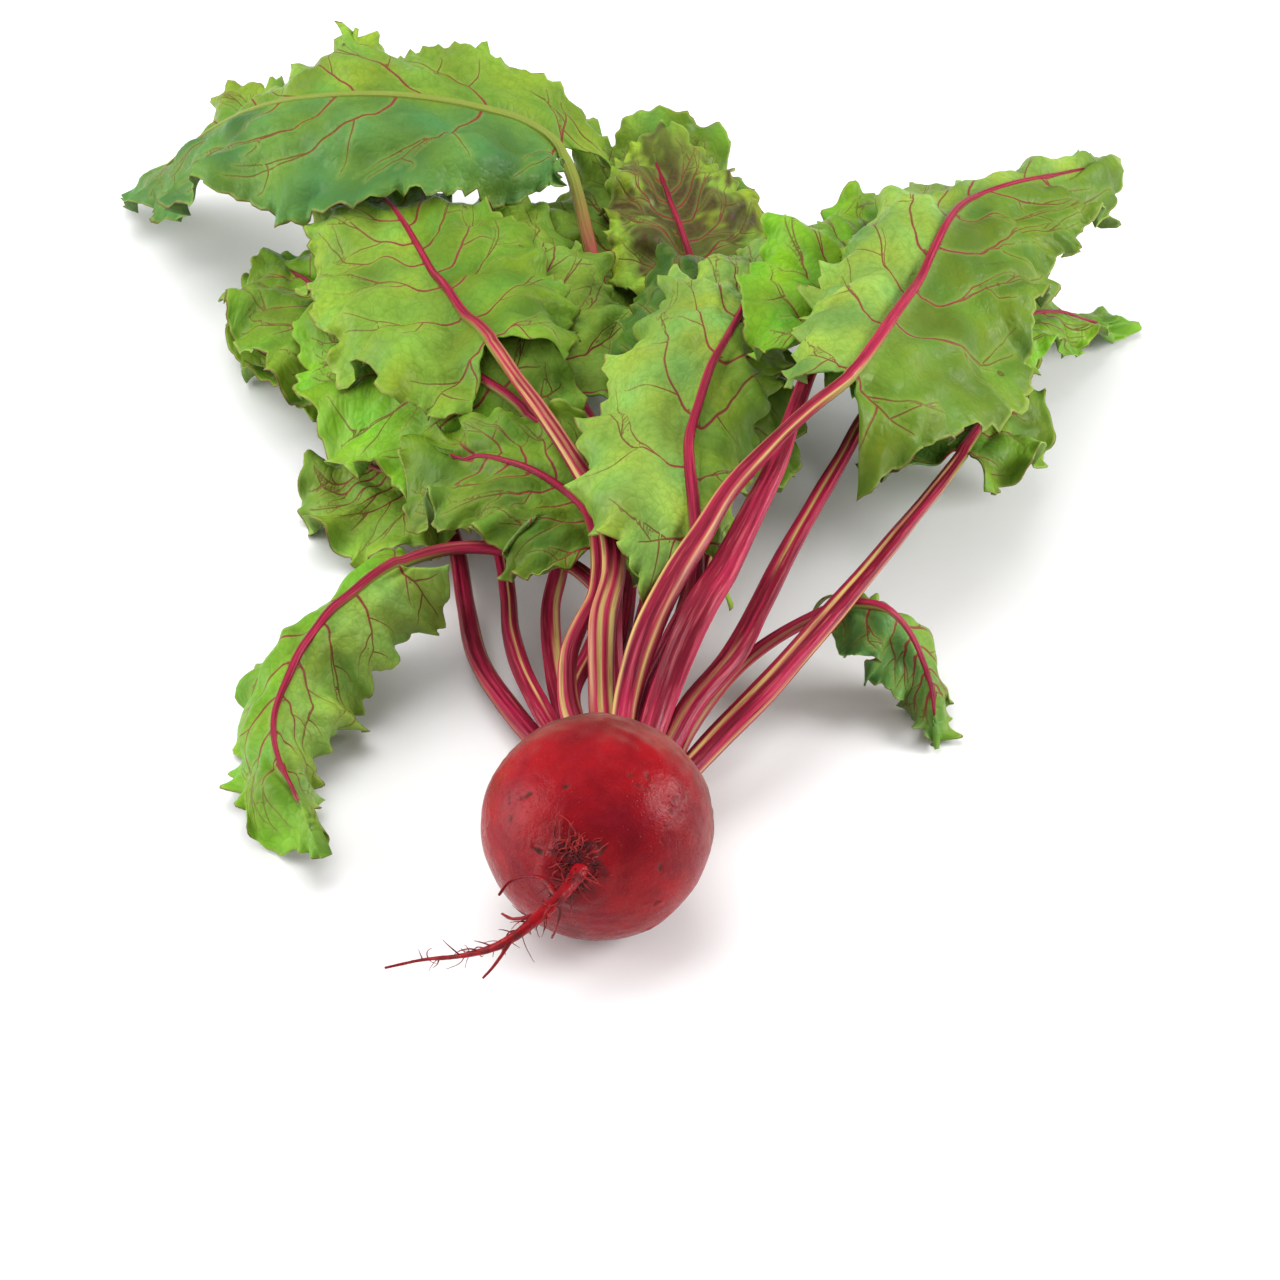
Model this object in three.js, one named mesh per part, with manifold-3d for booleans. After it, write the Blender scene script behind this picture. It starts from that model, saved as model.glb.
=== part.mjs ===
// A beetroot as picked: one round root with its tap root, and a full head of leaves.
// Millimetres, +Z up. The root stands on a small flat spot at the origin of a table at z = 0,
// its crown looks to +Y, and the leaves lie behind it, one upon another.
//
//   root           the globe, its crown with a socket for each stalk, the tap root and rootlets
//   leaf_NN_stalk  a stalk and the midrib it runs out into
//   leaf_NN_blade  the green blade on both sides of that midrib, waved and notched at the edge
//
// The leaves are laid one after another, as on a table: each is raised just enough to clear
// the table and the leaves already lying there.

import * as THREE from 'three';
import Module from 'manifold-3d';

const wasm = await Module();
wasm.setup();

// ---------------------------------------------------------------- driving dimensions

const ROOT_RADIUS = 37.5;
const REST_RADIUS = 8;
const ROOT_CENTRE = new THREE.Vector3(0, 0, Math.sqrt(ROOT_RADIUS ** 2 - REST_RADIUS ** 2));
const CROWN_AXIS = new THREE.Vector3(0.19, 0.937, -0.29).normalize();
const CROWN_HEIGHT = 31;

const SOCKET_DEPTH = 4;
const SOCKET_GAP = 0.3;
const SLOT_SPACING = 9;

const MIDRIB_RADIUS = 2.3;
const MIDRIB_TIP_RADIUS = 0.8;
const MIDRIB_SHARE = 0.8;
const SLIT_GAP = 0.5;

const BLADE_THICKNESS = 0.9;
const TABLE_GAP = 0.1;
const LEAF_GAP = 0.7;
const LIFT_SLOPE = 0.45;
const PILE_CELL = 2.5;

// Where the leaves may start to be raised, and where they may be raised in full,
// both measured from the crown.
const LIFT_START = 22;
const LIFT_FULL = 60;

// The same for a blade that goes over a later leaf, measured from the blade's foot.
const OVER_START = 4;
const OVER_FULL = 32;

// Where a stalk starts to swell from its socket's radius, and where it has its body's.
const BODY_START = 12;
const BODY_FULL = 45;

// How finely the mesh follows the shapes.
const STALK_SIDES = 6;
const STALK_STATIONS = 9;
const BLADE_STATIONS = 12;
const BLADE_CELLS = 4;
const ROUTE_STEPS = 12;
const LAYING_PASSES = 4;

const UP = new THREE.Vector3(0, 0, 1);
const ACROSS = new THREE.Vector3().crossVectors(CROWN_AXIS, UP).normalize();
const UPRIGHT = new THREE.Vector3().crossVectors(ACROSS, CROWN_AXIS);

// ---------------------------------------------------------------- the leaves
//
// From the lowest in the pile to the topmost. slot is the place on the crown, in rows and
// columns. stalk and rib are the points that the stalk and the midrib run through before
// the leaf is laid down. radius is the stalk's in its socket, and body just above it. left
// and right are the greatest half widths of the blade. fold and curl are the angles, left
// then right, at which each half leaves the midrib and by which it has turned at its edge:
// positive is up. wave is how far the edge is ruffled. A leaf that names another in `over`
// has its stalk under the leaves that follow it, and its blade over that other leaf.

const LEAVES = [
  {
    name: 'leaf_01', slot: [0, -2], radius: 3.4, body: 3.6,
    stalk: [[9, 78, 12], [14, 118, 18], [23, 174, 18], [24, 231, 20]],
    rib: [[18, 306, 26], [17, 334, 30], [18, 362, 36], [20, 387, 42]],
    left: 46, right: 46, fold: [12, 10], curl: [-18, -18], wave: 9, turn: 2.2,
  },
  {
    name: 'leaf_02', slot: [1, -2], radius: 3.2, body: 3.2,
    stalk: [[21, 78, 9], [27, 122, 14], [37, 176, 16], [42, 231, 20], [41, 277, 26]],
    rib: [[38, 302, 32], [33, 324, 38], [27, 349, 42], [20, 377, 40]],
    left: 30, right: 36, fold: [20, 12], curl: [-34, -26], wave: 7, turn: 0.3,
  },
  {
    name: 'leaf_03', slot: [-1, -2], radius: 3.1, body: 3.8,
    stalk: [[-19, 72, 8], [-39, 104, 10], [-48, 145, 8], [-54, 186, 8], [-66, 230, 9]],
    rib: [[-82, 270, 10], [-97, 285, 12], [-114, 299, 12], [-126, 323, 8], [-134, 345, 5]],
    left: 26, right: 36, fold: [6, 4], curl: [-14, -12], wave: 7, turn: 0.7,
  },
  {
    name: 'leaf_04', slot: [-0.5, -1], radius: 3.4, body: 3.4, over: 'leaf_13',
    stalk: [[0, 78, 22], [7, 113, 22], [10, 157, 22], [10, 199, 26], [5, 252, 32], [-5, 321, 44]],
    rib: [[-17, 364, 60], [-38, 366, 74], [-66, 363, 84], [-98, 363, 86],
      [-131, 375, 74], [-160, 397, 46], [-182, 409, 20]],
    left: 50, right: 36, fold: [-8, 16], curl: [-22, -16], wave: 9, turn: 1.1,
  },
  {
    name: 'leaf_05', slot: [-1.5, -1], radius: 3.4, body: 3.5,
    stalk: [[-12, 78, 17], [-18, 120, 20], [-15, 168, 20], [-30, 216, 22], [-56, 253, 26]],
    rib: [[-76, 276, 30], [-94, 290, 34], [-110, 307, 34], [-123, 329, 28]],
    left: 40, right: 34, fold: [4, 8], curl: [-18, -14], wave: 8, turn: 2.6,
  },
  {
    name: 'leaf_06', slot: [1.5, -1], radius: 3.2, body: 2.9,
    stalk: [[30, 67, 19], [50, 92, 30], [67, 100, 38]],
    rib: [[84, 107, 42], [98, 104, 40], [109, 101, 27], [115, 93, 11], [116, 85, 3]],
    left: 19, right: 17, fold: [-20, -36], curl: [-30, -20], wave: 6, turn: 2.0,
  },
  {
    name: 'leaf_07', slot: [-2, 0], radius: 3.4, body: 3.6,
    stalk: [[-19, 74, 21], [-30, 111, 19], [-36, 165, 15], [-48, 193, 14]],
    rib: [[-59, 202, 16], [-71, 207, 18], [-81, 212, 16], [-89, 221, 10]],
    left: 37, right: 36, fold: [2, 4], curl: [-16, -12], wave: 9, turn: 1.7,
  },
  {
    name: 'leaf_08', slot: [-1, 0], radius: 3.7, body: 3.2,
    stalk: [[-10, 70, 29], [-2, 95, 35], [2, 110, 40],
      [-3, 121, 44], [-22, 130, 46], [-49, 133, 47]],
    rib: [[-70, 125, 46], [-88, 111, 40], [-103, 90, 30],
      [-110, 60, 18], [-106, 41, 10], [-98, 26, 6]],
    left: 30, right: 34, fold: [-30, -34], curl: [-30, -24], wave: 8, turn: 1.4,
  },
  {
    name: 'leaf_09', slot: [0.5, -1], radius: 3.6, body: 4.0,
    stalk: [[13, 72, 19], [15, 107, 27], [18, 144, 33], [8, 178, 42]],
    rib: [[-9, 216, 50], [-20, 244, 54], [-31, 280, 56], [-41, 328, 52]],
    left: 32, right: 42, fold: [8, 2], curl: [-22, -20], wave: 8, turn: 1.9,
  },
  {
    name: 'leaf_10', slot: [1, 0], radius: 3.0, body: 3.2,
    stalk: [[22, 69, 25], [29, 101, 32], [37, 136, 38], [42, 164, 44]],
    rib: [[43, 186, 48], [40, 208, 50], [38, 236, 52], [42, 264, 50], [53, 294, 44]],
    left: 36, right: 36, fold: [14, 8], curl: [-40, -36], wave: 9, turn: 2.5,
  },
  {
    name: 'leaf_11', slot: [0, 0], radius: 3.5, body: 3.8,
    stalk: [[6, 65, 27], [4, 90, 35], [5, 121, 40], [-2, 164, 44], [-14, 184, 46]],
    rib: [[-27, 199, 48], [-42, 212, 48], [-62, 231, 44], [-81, 252, 38], [-95, 271, 30]],
    left: 44, right: 30, fold: [-2, 4], curl: [-20, -14], wave: 8, turn: 0.9,
  },
  {
    name: 'leaf_12', slot: [-1.5, 1], radius: 3.5, body: 3.6,
    stalk: [[-10, 62, 35], [-10, 80, 40], [-2, 100, 42]],
    rib: [[-1, 123, 42], [-7, 145, 42], [-21, 158, 40], [-38, 170, 36], [-55, 183, 30]],
    left: 38, right: 26, fold: [-4, 6], curl: [-20, -10], wave: 8, turn: 2.9,
  },
  {
    name: 'leaf_13', slot: [-0.5, 1], radius: 3.9, body: 4.5,
    stalk: [[1, 61, 35], [1, 81, 42], [5, 112, 46], [-1, 140, 52], [-16, 168, 58], [-29, 196, 62]],
    rib: [[-40, 220, 64], [-58, 258, 66], [-76, 308, 64], [-90, 345, 58]],
    left: 48, right: 44, fold: [-6, 6], curl: [-20, -26], wave: 9, turn: 0.2,
  },
  {
    name: 'leaf_14', slot: [0.5, 1], radius: 3.5, body: 3.6,
    stalk: [[14, 57, 37], [24, 72, 42], [32, 85, 46]],
    rib: [[33, 102, 50], [32, 118, 54], [31, 147, 58], [37, 173, 58],
      [48, 206, 56], [61, 254, 52], [73, 284, 46]],
    left: 42, right: 21, fold: [-4, -6], curl: [-26, -30], wave: 9, turn: 0.9,
  },
  {
    name: 'leaf_15', slot: [2, 0], radius: 3.8, body: 4.6,
    stalk: [[37, 48, 29], [53, 62, 38], [84, 103, 48], [111, 155, 44]],
    rib: [[131, 198, 38], [142, 228, 34], [146, 255, 30], [148, 283, 24]],
    left: 44, right: 24, fold: [-6, -4], curl: [-24, -24], wave: 9, turn: 2.7,
  },
  {
    name: 'leaf_16', slot: [1.5, 1], radius: 3.6, body: 4.2,
    stalk: [[25, 48, 37], [42, 72, 42], [67, 136, 46], [86, 180, 50], [99, 213, 50]],
    rib: [[110, 231, 50], [128, 255, 46], [150, 279, 38], [174, 304, 25], [194, 317, 10]],
    left: 44, right: 22, fold: [6, -6], curl: [-18, -20], wave: 8, turn: 0.5,
  },
  {
    name: 'leaf_17', slot: [1, 2], radius: 4.4, body: 5.8,
    stalk: [[22, 53, 44], [32, 68, 52], [49, 105, 56], [61, 130, 56], [69, 158, 52]],
    rib: [[78, 188, 49], [89, 236, 47], [100, 278, 48], [110, 311, 50]],
    left: 34, right: 34, fold: [10, 10], curl: [-20, -20], wave: 9, turn: 1.6,
  },
  {
    name: 'leaf_18', slot: [0, 2], radius: 4.1, body: 5.0,
    stalk: [[10, 53, 47], [16, 66, 58], [31, 92, 66], [48, 120, 76], [69, 136, 84]],
    rib: [[86, 150, 90], [107, 197, 94], [121, 239, 94],
      [139, 286, 90], [163, 310, 82], [188, 340, 68]],
    left: 38, right: 45, fold: [4, -10], curl: [-34, -22], wave: 9, turn: 1.2,
  },
];

// ---------------------------------------------------------------- materials

const SKIN = new THREE.MeshStandardMaterial({ color: 0x8c1526, roughness: 0.45, metalness: 0 });
const STALK = new THREE.MeshStandardMaterial({ color: 0xa32238, roughness: 0.4, metalness: 0 });
const BLADE = new THREE.MeshStandardMaterial({ color: 0x6f9a3c, roughness: 0.5, metalness: 0 });

// ---------------------------------------------------------------- small helpers

const mix = (a, b, share) => a + (b - a) * share;

function smoothStep(low, high, value) {
  const share = THREE.MathUtils.clamp((value - low) / (high - low), 0, 1);
  return share * share * (3 - 2 * share);
}

// The value at `at` (0 to 1) of evenly spaced numbers joined by straight lines.
function along(values, at) {
  const place = at * (values.length - 1);
  const index = Math.min(Math.floor(place), values.length - 2);
  return mix(values[index], values[index + 1], place - index);
}

// A geometry from a list of points and a list of triangles.
function meshGeometry(points, triangles) {
  const geometry = new THREE.BufferGeometry();
  geometry.setFromPoints(points);
  geometry.setIndex(triangles.flat());
  geometry.computeVertexNormals();
  return geometry;
}

// Rings of points joined into a closed solid, with a flat cap at each end.
function loft(rings) {
  const sides = rings[0].length;
  const points = rings.flat();
  const triangles = [];
  for (let ring = 0; ring < rings.length - 1; ring += 1) {
    for (let side = 0; side < sides; side += 1) {
      const a = ring * sides + side;
      const b = ring * sides + ((side + 1) % sides);
      triangles.push([a, b, b + sides], [a, b + sides, a + sides]);
    }
  }
  for (const [ring, turned] of [[0, true], [rings.length - 1, false]]) {
    const centre = new THREE.Vector3();
    rings[ring].forEach((point) => centre.addScaledVector(point, 1 / sides));
    const middle = points.push(centre) - 1;
    for (let side = 0; side < sides; side += 1) {
      const a = ring * sides + side;
      const b = ring * sides + ((side + 1) % sides);
      triangles.push(turned ? [middle, b, a] : [middle, a, b]);
    }
  }
  return meshGeometry(points, triangles);
}

function toSolid(geometry) {
  const points = Float32Array.from(geometry.getAttribute('position').array);
  const triangles = Uint32Array.from(geometry.getIndex().array);
  const mesh = new wasm.Mesh({ numProp: 3, vertProperties: points, triVerts: triangles });
  mesh.merge();
  return new wasm.Manifold(mesh);
}

function fromSolid(solid) {
  const mesh = solid.getMesh();
  const geometry = new THREE.BufferGeometry();
  geometry.setAttribute('position', new THREE.BufferAttribute(Float32Array.from(mesh.vertProperties), 3));
  geometry.setIndex(new THREE.BufferAttribute(Uint32Array.from(mesh.triVerts), 1));
  geometry.computeVertexNormals();
  return geometry;
}

// ---------------------------------------------------------------- routes

// A smooth way through hand-placed points, measured along its length.
class Route {
  constructor(points) {
    this.curve = new THREE.CatmullRomCurve3(points, false, 'centripetal');
    this.points = this.curve.getPoints((points.length - 1) * ROUTE_STEPS);
    this.reach = [0];
    for (let index = 1; index < this.points.length; index += 1) {
      const step = this.points[index].distanceTo(this.points[index - 1]);
      this.reach.push(this.reach[index - 1] + step);
    }
    this.length = this.reach[this.reach.length - 1];
  }

  // The distance along the route of the hand-placed point of this number.
  distanceOf(number) {
    return this.reach[number * ROUTE_STEPS];
  }

  pointAt(distance) {
    const wanted = THREE.MathUtils.clamp(distance, 0, this.length);
    let index = this.reach.findIndex((value) => value >= wanted);
    index = Math.max(index, 1);
    const share = (wanted - this.reach[index - 1]) / (this.reach[index] - this.reach[index - 1]);
    return this.points[index - 1].clone().lerp(this.points[index], share);
  }

  // Forward, to the right, and up out of the leaf.
  frameAt(distance) {
    const reach = 3;
    const forward = this.pointAt(distance + reach).sub(this.pointAt(distance - reach)).normalize();
    const right = new THREE.Vector3().crossVectors(forward, UP).normalize();
    const up = new THREE.Vector3().crossVectors(right, forward);
    return { forward, right, up };
  }
}

// ---------------------------------------------------------------- the root

// Distance from the centre along the crown axis, and the radius there.
const ROOT_PROFILE = [
  [31, 0.1], [31, 7], [30.6, 13.5], [29.6, 20], [27.4, 25], [23, 29.7], [17.5, 33.3], [11, 35.9],
  [4, 37.3], [-4, 37.3], [-11, 35.6], [-17.5, 32.4], [-23, 28.4], [-27.6, 23.6], [-31.2, 18.4],
  [-34, 13.6], [-36.4, 9.6], [-37.4, 0.1],
];
const ROOT_SIDES = 32;
const TAPROOT_SIDES = 10;
const TAPROOT_STEPS = 18;
const TAPROOT = [
  { point: [-4.5, -29, 47.5], radius: 3.8 },
  { point: [-4.9, -34.9, 50.6], radius: 3 },
  { point: [-7.2, -40, 50.6], radius: 2.3 },
  { point: [-11.5, -47.1, 50], radius: 2.05 },
  { point: [-17.4, -52.6, 47.5], radius: 1.85 },
  { point: [-24.3, -56.6, 43.5], radius: 1.6 },
  { point: [-31.6, -57.3, 38.5], radius: 1.3 },
  { point: [-42.9, -54.2, 31.5], radius: 0.8 },
  { point: [-55.3, -49.4, 25], radius: 0.55 },
  { point: [-67.4, -47.9, 20], radius: 0.4 },
];
const ROOTLETS = [
  [{ point: [-12.4, -46, 50.5], radius: 1 }, { point: [-16.1, -38, 49], radius: 0.75 },
    { point: [-20.9, -34.8, 47.6], radius: 0.6 }, { point: [-27.5, -33.5, 44], radius: 0.5 },
    { point: [-30.7, -39.4, 44], radius: 0.4 }],
  [{ point: [-17.1, -51.7, 47.5], radius: 1 }, { point: [-21.5, -51.5, 46], radius: 0.7 },
    { point: [-26, -49.3, 43], radius: 0.5 }, { point: [-29.7, -43.9, 40], radius: 0.4 }],
  [{ point: [-26.2, -57.3, 42.5], radius: 1 }, { point: [-29, -59.5, 38], radius: 0.7 },
    { point: [-32.2, -60.6, 33], radius: 0.5 }, { point: [-35.5, -60.5, 28], radius: 0.4 }],
  [{ point: [-11.8, -46.5, 49], radius: 1 }, { point: [-11.2, -47.2, 44], radius: 0.7 },
    { point: [-12.3, -47.3, 38], radius: 0.5 }, { point: [-14, -45.5, 31], radius: 0.4 }],
];

// Grown, not turned: a few shallow swellings round the globe.
function swelling(angle, height) {
  return 1 + 0.012 * Math.sin(2 * angle + 0.8) + 0.008 * Math.sin(3 * angle + height / 14);
}

function rootGlobe() {
  const rings = ROOT_PROFILE.map(([height, radius]) => {
    const ring = [];
    for (let side = 0; side < ROOT_SIDES; side += 1) {
      const angle = (side / ROOT_SIDES) * 2 * Math.PI;
      const reach = radius * swelling(angle, height);
      ring.push(ROOT_CENTRE.clone()
        .addScaledVector(CROWN_AXIS, height)
        .addScaledVector(ACROSS, reach * Math.cos(angle))
        .addScaledVector(UPRIGHT, reach * Math.sin(angle)));
    }
    return ring.reverse();
  });
  return toSolid(loft(rings.reverse()));
}

// A round tapering root through the given points.
function rootBranch(stations, sides, steps) {
  const route = new Route(stations.map(({ point }) => new THREE.Vector3(...point)));
  const rings = [];
  for (let step = 0; step <= steps; step += 1) {
    const distance = (step / steps) * route.length;
    const { right, up } = route.frameAt(distance);
    const radius = along(stations.map((station) => station.radius), step / steps);
    const centre = route.pointAt(distance);
    const ring = [];
    for (let side = 0; side < sides; side += 1) {
      const angle = (side / sides) * 2 * Math.PI;
      ring.push(centre.clone()
        .addScaledVector(right, radius * Math.cos(angle))
        .addScaledVector(up, radius * Math.sin(angle)));
    }
    rings.push(ring.reverse());
  }
  return toSolid(loft(rings));
}

function rootSolid() {
  let solid = rootGlobe().add(rootBranch(TAPROOT, TAPROOT_SIDES, TAPROOT_STEPS));
  for (const rootlet of ROOTLETS) {
    solid = solid.add(rootBranch(rootlet, 5, 4));
  }
  for (const leaf of LEAVES) {
    solid = solid.subtract(socketCutter(leaf));
  }
  return solid.trimByPlane([0, 0, 1], 0);
}

// ---------------------------------------------------------------- stalks and midribs

function slotPlace([column, row]) {
  return ROOT_CENTRE.clone()
    .addScaledVector(CROWN_AXIS, CROWN_HEIGHT)
    .addScaledVector(ACROSS, column * SLOT_SPACING)
    .addScaledVector(UPRIGHT, row * SLOT_SPACING * Math.sin(Math.PI / 3));
}

// The stalk leaves its socket straight, so that the socket's gap is even.
const STRAIGHT_START = [-SOCKET_DEPTH, 1, 6, 11];

function leafRoute(leaf) {
  const foot = slotPlace(leaf.slot);
  const start = STRAIGHT_START.map((depth) => foot.clone().addScaledVector(CROWN_AXIS, depth));
  const placed = [...leaf.stalk, ...leaf.rib].map((point) => new THREE.Vector3(...point));
  const route = new Route([...start, ...placed]);
  route.bladeStart = route.distanceOf(start.length + leaf.stalk.length);
  return route;
}

// One ring of a stalk: round below, with a shallow channel along the top.
function stalkRing(centre, right, up, radius) {
  const ring = [];
  for (let side = 0; side < STALK_SIDES; side += 1) {
    const angle = (side / STALK_SIDES) * 2 * Math.PI;
    const top = Math.max(0, Math.sin(angle));
    const reach = radius * (1 - 0.3 * top ** 6);
    ring.push(centre.clone()
      .addScaledVector(right, reach * Math.cos(angle))
      .addScaledVector(up, reach * Math.sin(angle)));
  }
  return ring.reverse();
}

function socketCutter(leaf) {
  const foot = slotPlace(leaf.slot);
  const rings = [-SOCKET_DEPTH - SOCKET_GAP, 8].map((depth) => {
    const centre = foot.clone().addScaledVector(CROWN_AXIS, depth);
    return stalkRing(centre, ACROSS, UPRIGHT, leaf.radius + SOCKET_GAP);
  });
  return toSolid(loft(rings));
}

function bladeDistance(route, station) {
  return mix(route.bladeStart, route.length, station / BLADE_STATIONS);
}

const LAST_RIB_STATION = Math.round(BLADE_STATIONS * MIDRIB_SHARE);

function midribRadius(station) {
  return mix(MIDRIB_RADIUS, MIDRIB_TIP_RADIUS, (station / LAST_RIB_STATION) ** 0.8);
}

// A stalk is as wide as its socket at its foot, then as wide as its body, and from there
// it tapers to the midrib.
function stalkRadius(leaf, route, distance) {
  const foot = mix(leaf.radius, leaf.body, smoothStep(BODY_START, BODY_FULL, distance));
  return mix(foot, MIDRIB_RADIUS, smoothStep(0.1, 1, distance / route.bladeStart));
}

function stalkStations(leaf, route) {
  const stations = [];
  for (let step = 0; step < STALK_STATIONS; step += 1) {
    const share = step / STALK_STATIONS;
    const distance = share === 0 ? 0 : mix(SOCKET_DEPTH + 4, route.bladeStart, (step - 1) / (STALK_STATIONS - 1));
    stations.push({ distance, radius: stalkRadius(leaf, route, distance) });
  }
  for (let station = 0; station <= LAST_RIB_STATION; station += 1) {
    stations.push({ distance: bladeDistance(route, station), radius: midribRadius(station) });
  }
  return stations;
}

// ---------------------------------------------------------------- blades

// From the foot of the blade to its tip: how long the side veins are, as a share of the
// half width, and how far they lean forward, in degrees.
const VEIN_LENGTH = [0.6, 0.88, 1, 1, 0.96, 0.9, 0.82, 0.72, 0.55];
const VEIN_LEAN = [-52, -24, -4, 8, 18, 28, 40, 58, 90];

const ruffleAt = (leaf, side, share) => Math.sin(21 * share + 3 * leaf.turn + 1.7 * side)
  + 0.5 * Math.sin(37 * share + 5 * leaf.turn - side);
const notchAt = (leaf, side, share) => 0.07 * Math.sin(47 * share + 2 * leaf.turn + side)
  + 0.05 * Math.sin(29 * share + leaf.turn * side);

// One point of the blade's middle surface: `share` along the midrib, `out` from it to the edge.
function bladePoint(leaf, route, station, side, out) {
  const share = station / BLADE_STATIONS;
  const distance = bladeDistance(route, station);
  const { forward, right, up } = route.frameAt(distance);
  const which = side < 0 ? 0 : 1;
  const width = side < 0 ? leaf.left : leaf.right;
  const lean = THREE.MathUtils.degToRad(along(VEIN_LEAN, share));
  const length = width * along(VEIN_LENGTH, share) * (1 + notchAt(leaf, side, share));
  const slit = station <= LAST_RIB_STATION ? midribRadius(station) + SLIT_GAP : 0;

  const point = route.pointAt(distance).addScaledVector(right, side * slit);
  const steps = 8;
  for (let step = 0; step < steps; step += 1) {
    const reached = ((step + 0.5) / steps) * out;
    const rise = THREE.MathUtils.degToRad(leaf.fold[which] + leaf.curl[which] * reached * 2);
    const outward = right.clone().multiplyScalar(side * Math.cos(rise)).addScaledVector(up, Math.sin(rise));
    point.addScaledVector(forward, (Math.sin(lean) * length * out) / steps);
    point.addScaledVector(outward, (Math.cos(lean) * length * out) / steps);
  }
  const ruffle = leaf.wave * out ** 2 * ruffleAt(leaf, side, share) * smoothStep(1, 0.8, share);
  return point.addScaledVector(up, ruffle);
}

// The middle surface of a blade: its points, its triangles and the loop of its edge.
function bladeSheet(leaf, route) {
  const points = [];
  const numbers = new Map();
  const numberOf = (station, side, cell) => {
    const shared = station === BLADE_STATIONS || (cell === 0 && station > LAST_RIB_STATION);
    const key = `${station} ${shared ? 0 : side} ${cell}`;
    if (!numbers.has(key)) {
      numbers.set(key, points.length);
      points.push(bladePoint(leaf, route, station, side, cell / BLADE_CELLS));
    }
    return numbers.get(key);
  };
  const triangles = [];
  for (const side of [-1, 1]) {
    for (let station = 0; station < BLADE_STATIONS; station += 1) {
      for (let cell = 0; cell < BLADE_CELLS; cell += 1) {
        const a = numberOf(station, side, cell);
        const b = numberOf(station, side, cell + 1);
        const c = numberOf(station + 1, side, cell + 1);
        const d = numberOf(station + 1, side, cell);
        triangles.push(...(side > 0 ? [[a, b, c], [a, c, d]] : [[a, c, b], [a, d, c]]));
      }
    }
  }
  return { points, triangles };
}

// A sheet thickened to both sides of its middle, its two faces split alike.
function thicken(sheet) {
  const { points, triangles } = sheet;
  const normals = points.map(() => new THREE.Vector3());
  for (const triangle of triangles) {
    const [a, b, c] = triangle.map((number) => points[number]);
    const normal = new THREE.Vector3().crossVectors(b.clone().sub(a), c.clone().sub(a));
    triangle.forEach((number) => normals[number].add(normal));
  }
  normals.forEach((normal) => normal.normalize());
  const half = BLADE_THICKNESS / 2;
  const top = points.map((point, number) => point.clone().addScaledVector(normals[number], half));
  const bottom = points.map((point, number) => point.clone().addScaledVector(normals[number], -half));
  const count = points.length;
  const edges = new Set(triangles.flatMap(([a, b, c]) => [`${a} ${b}`, `${b} ${c}`, `${c} ${a}`]));
  const solid = triangles.flatMap(([a, b, c]) => [[a, b, c], [a + count, c + count, b + count]]);
  for (const [a, b, c] of triangles) {
    for (const [from, to] of [[a, b], [b, c], [c, a]]) {
      if (!edges.has(`${to} ${from}`)) {
        solid.push([from, from + count, to + count], [from, to + count, to]);
      }
    }
  }
  return { points: [...top, ...bottom], triangles: solid };
}

// ---------------------------------------------------------------- the pile

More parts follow.
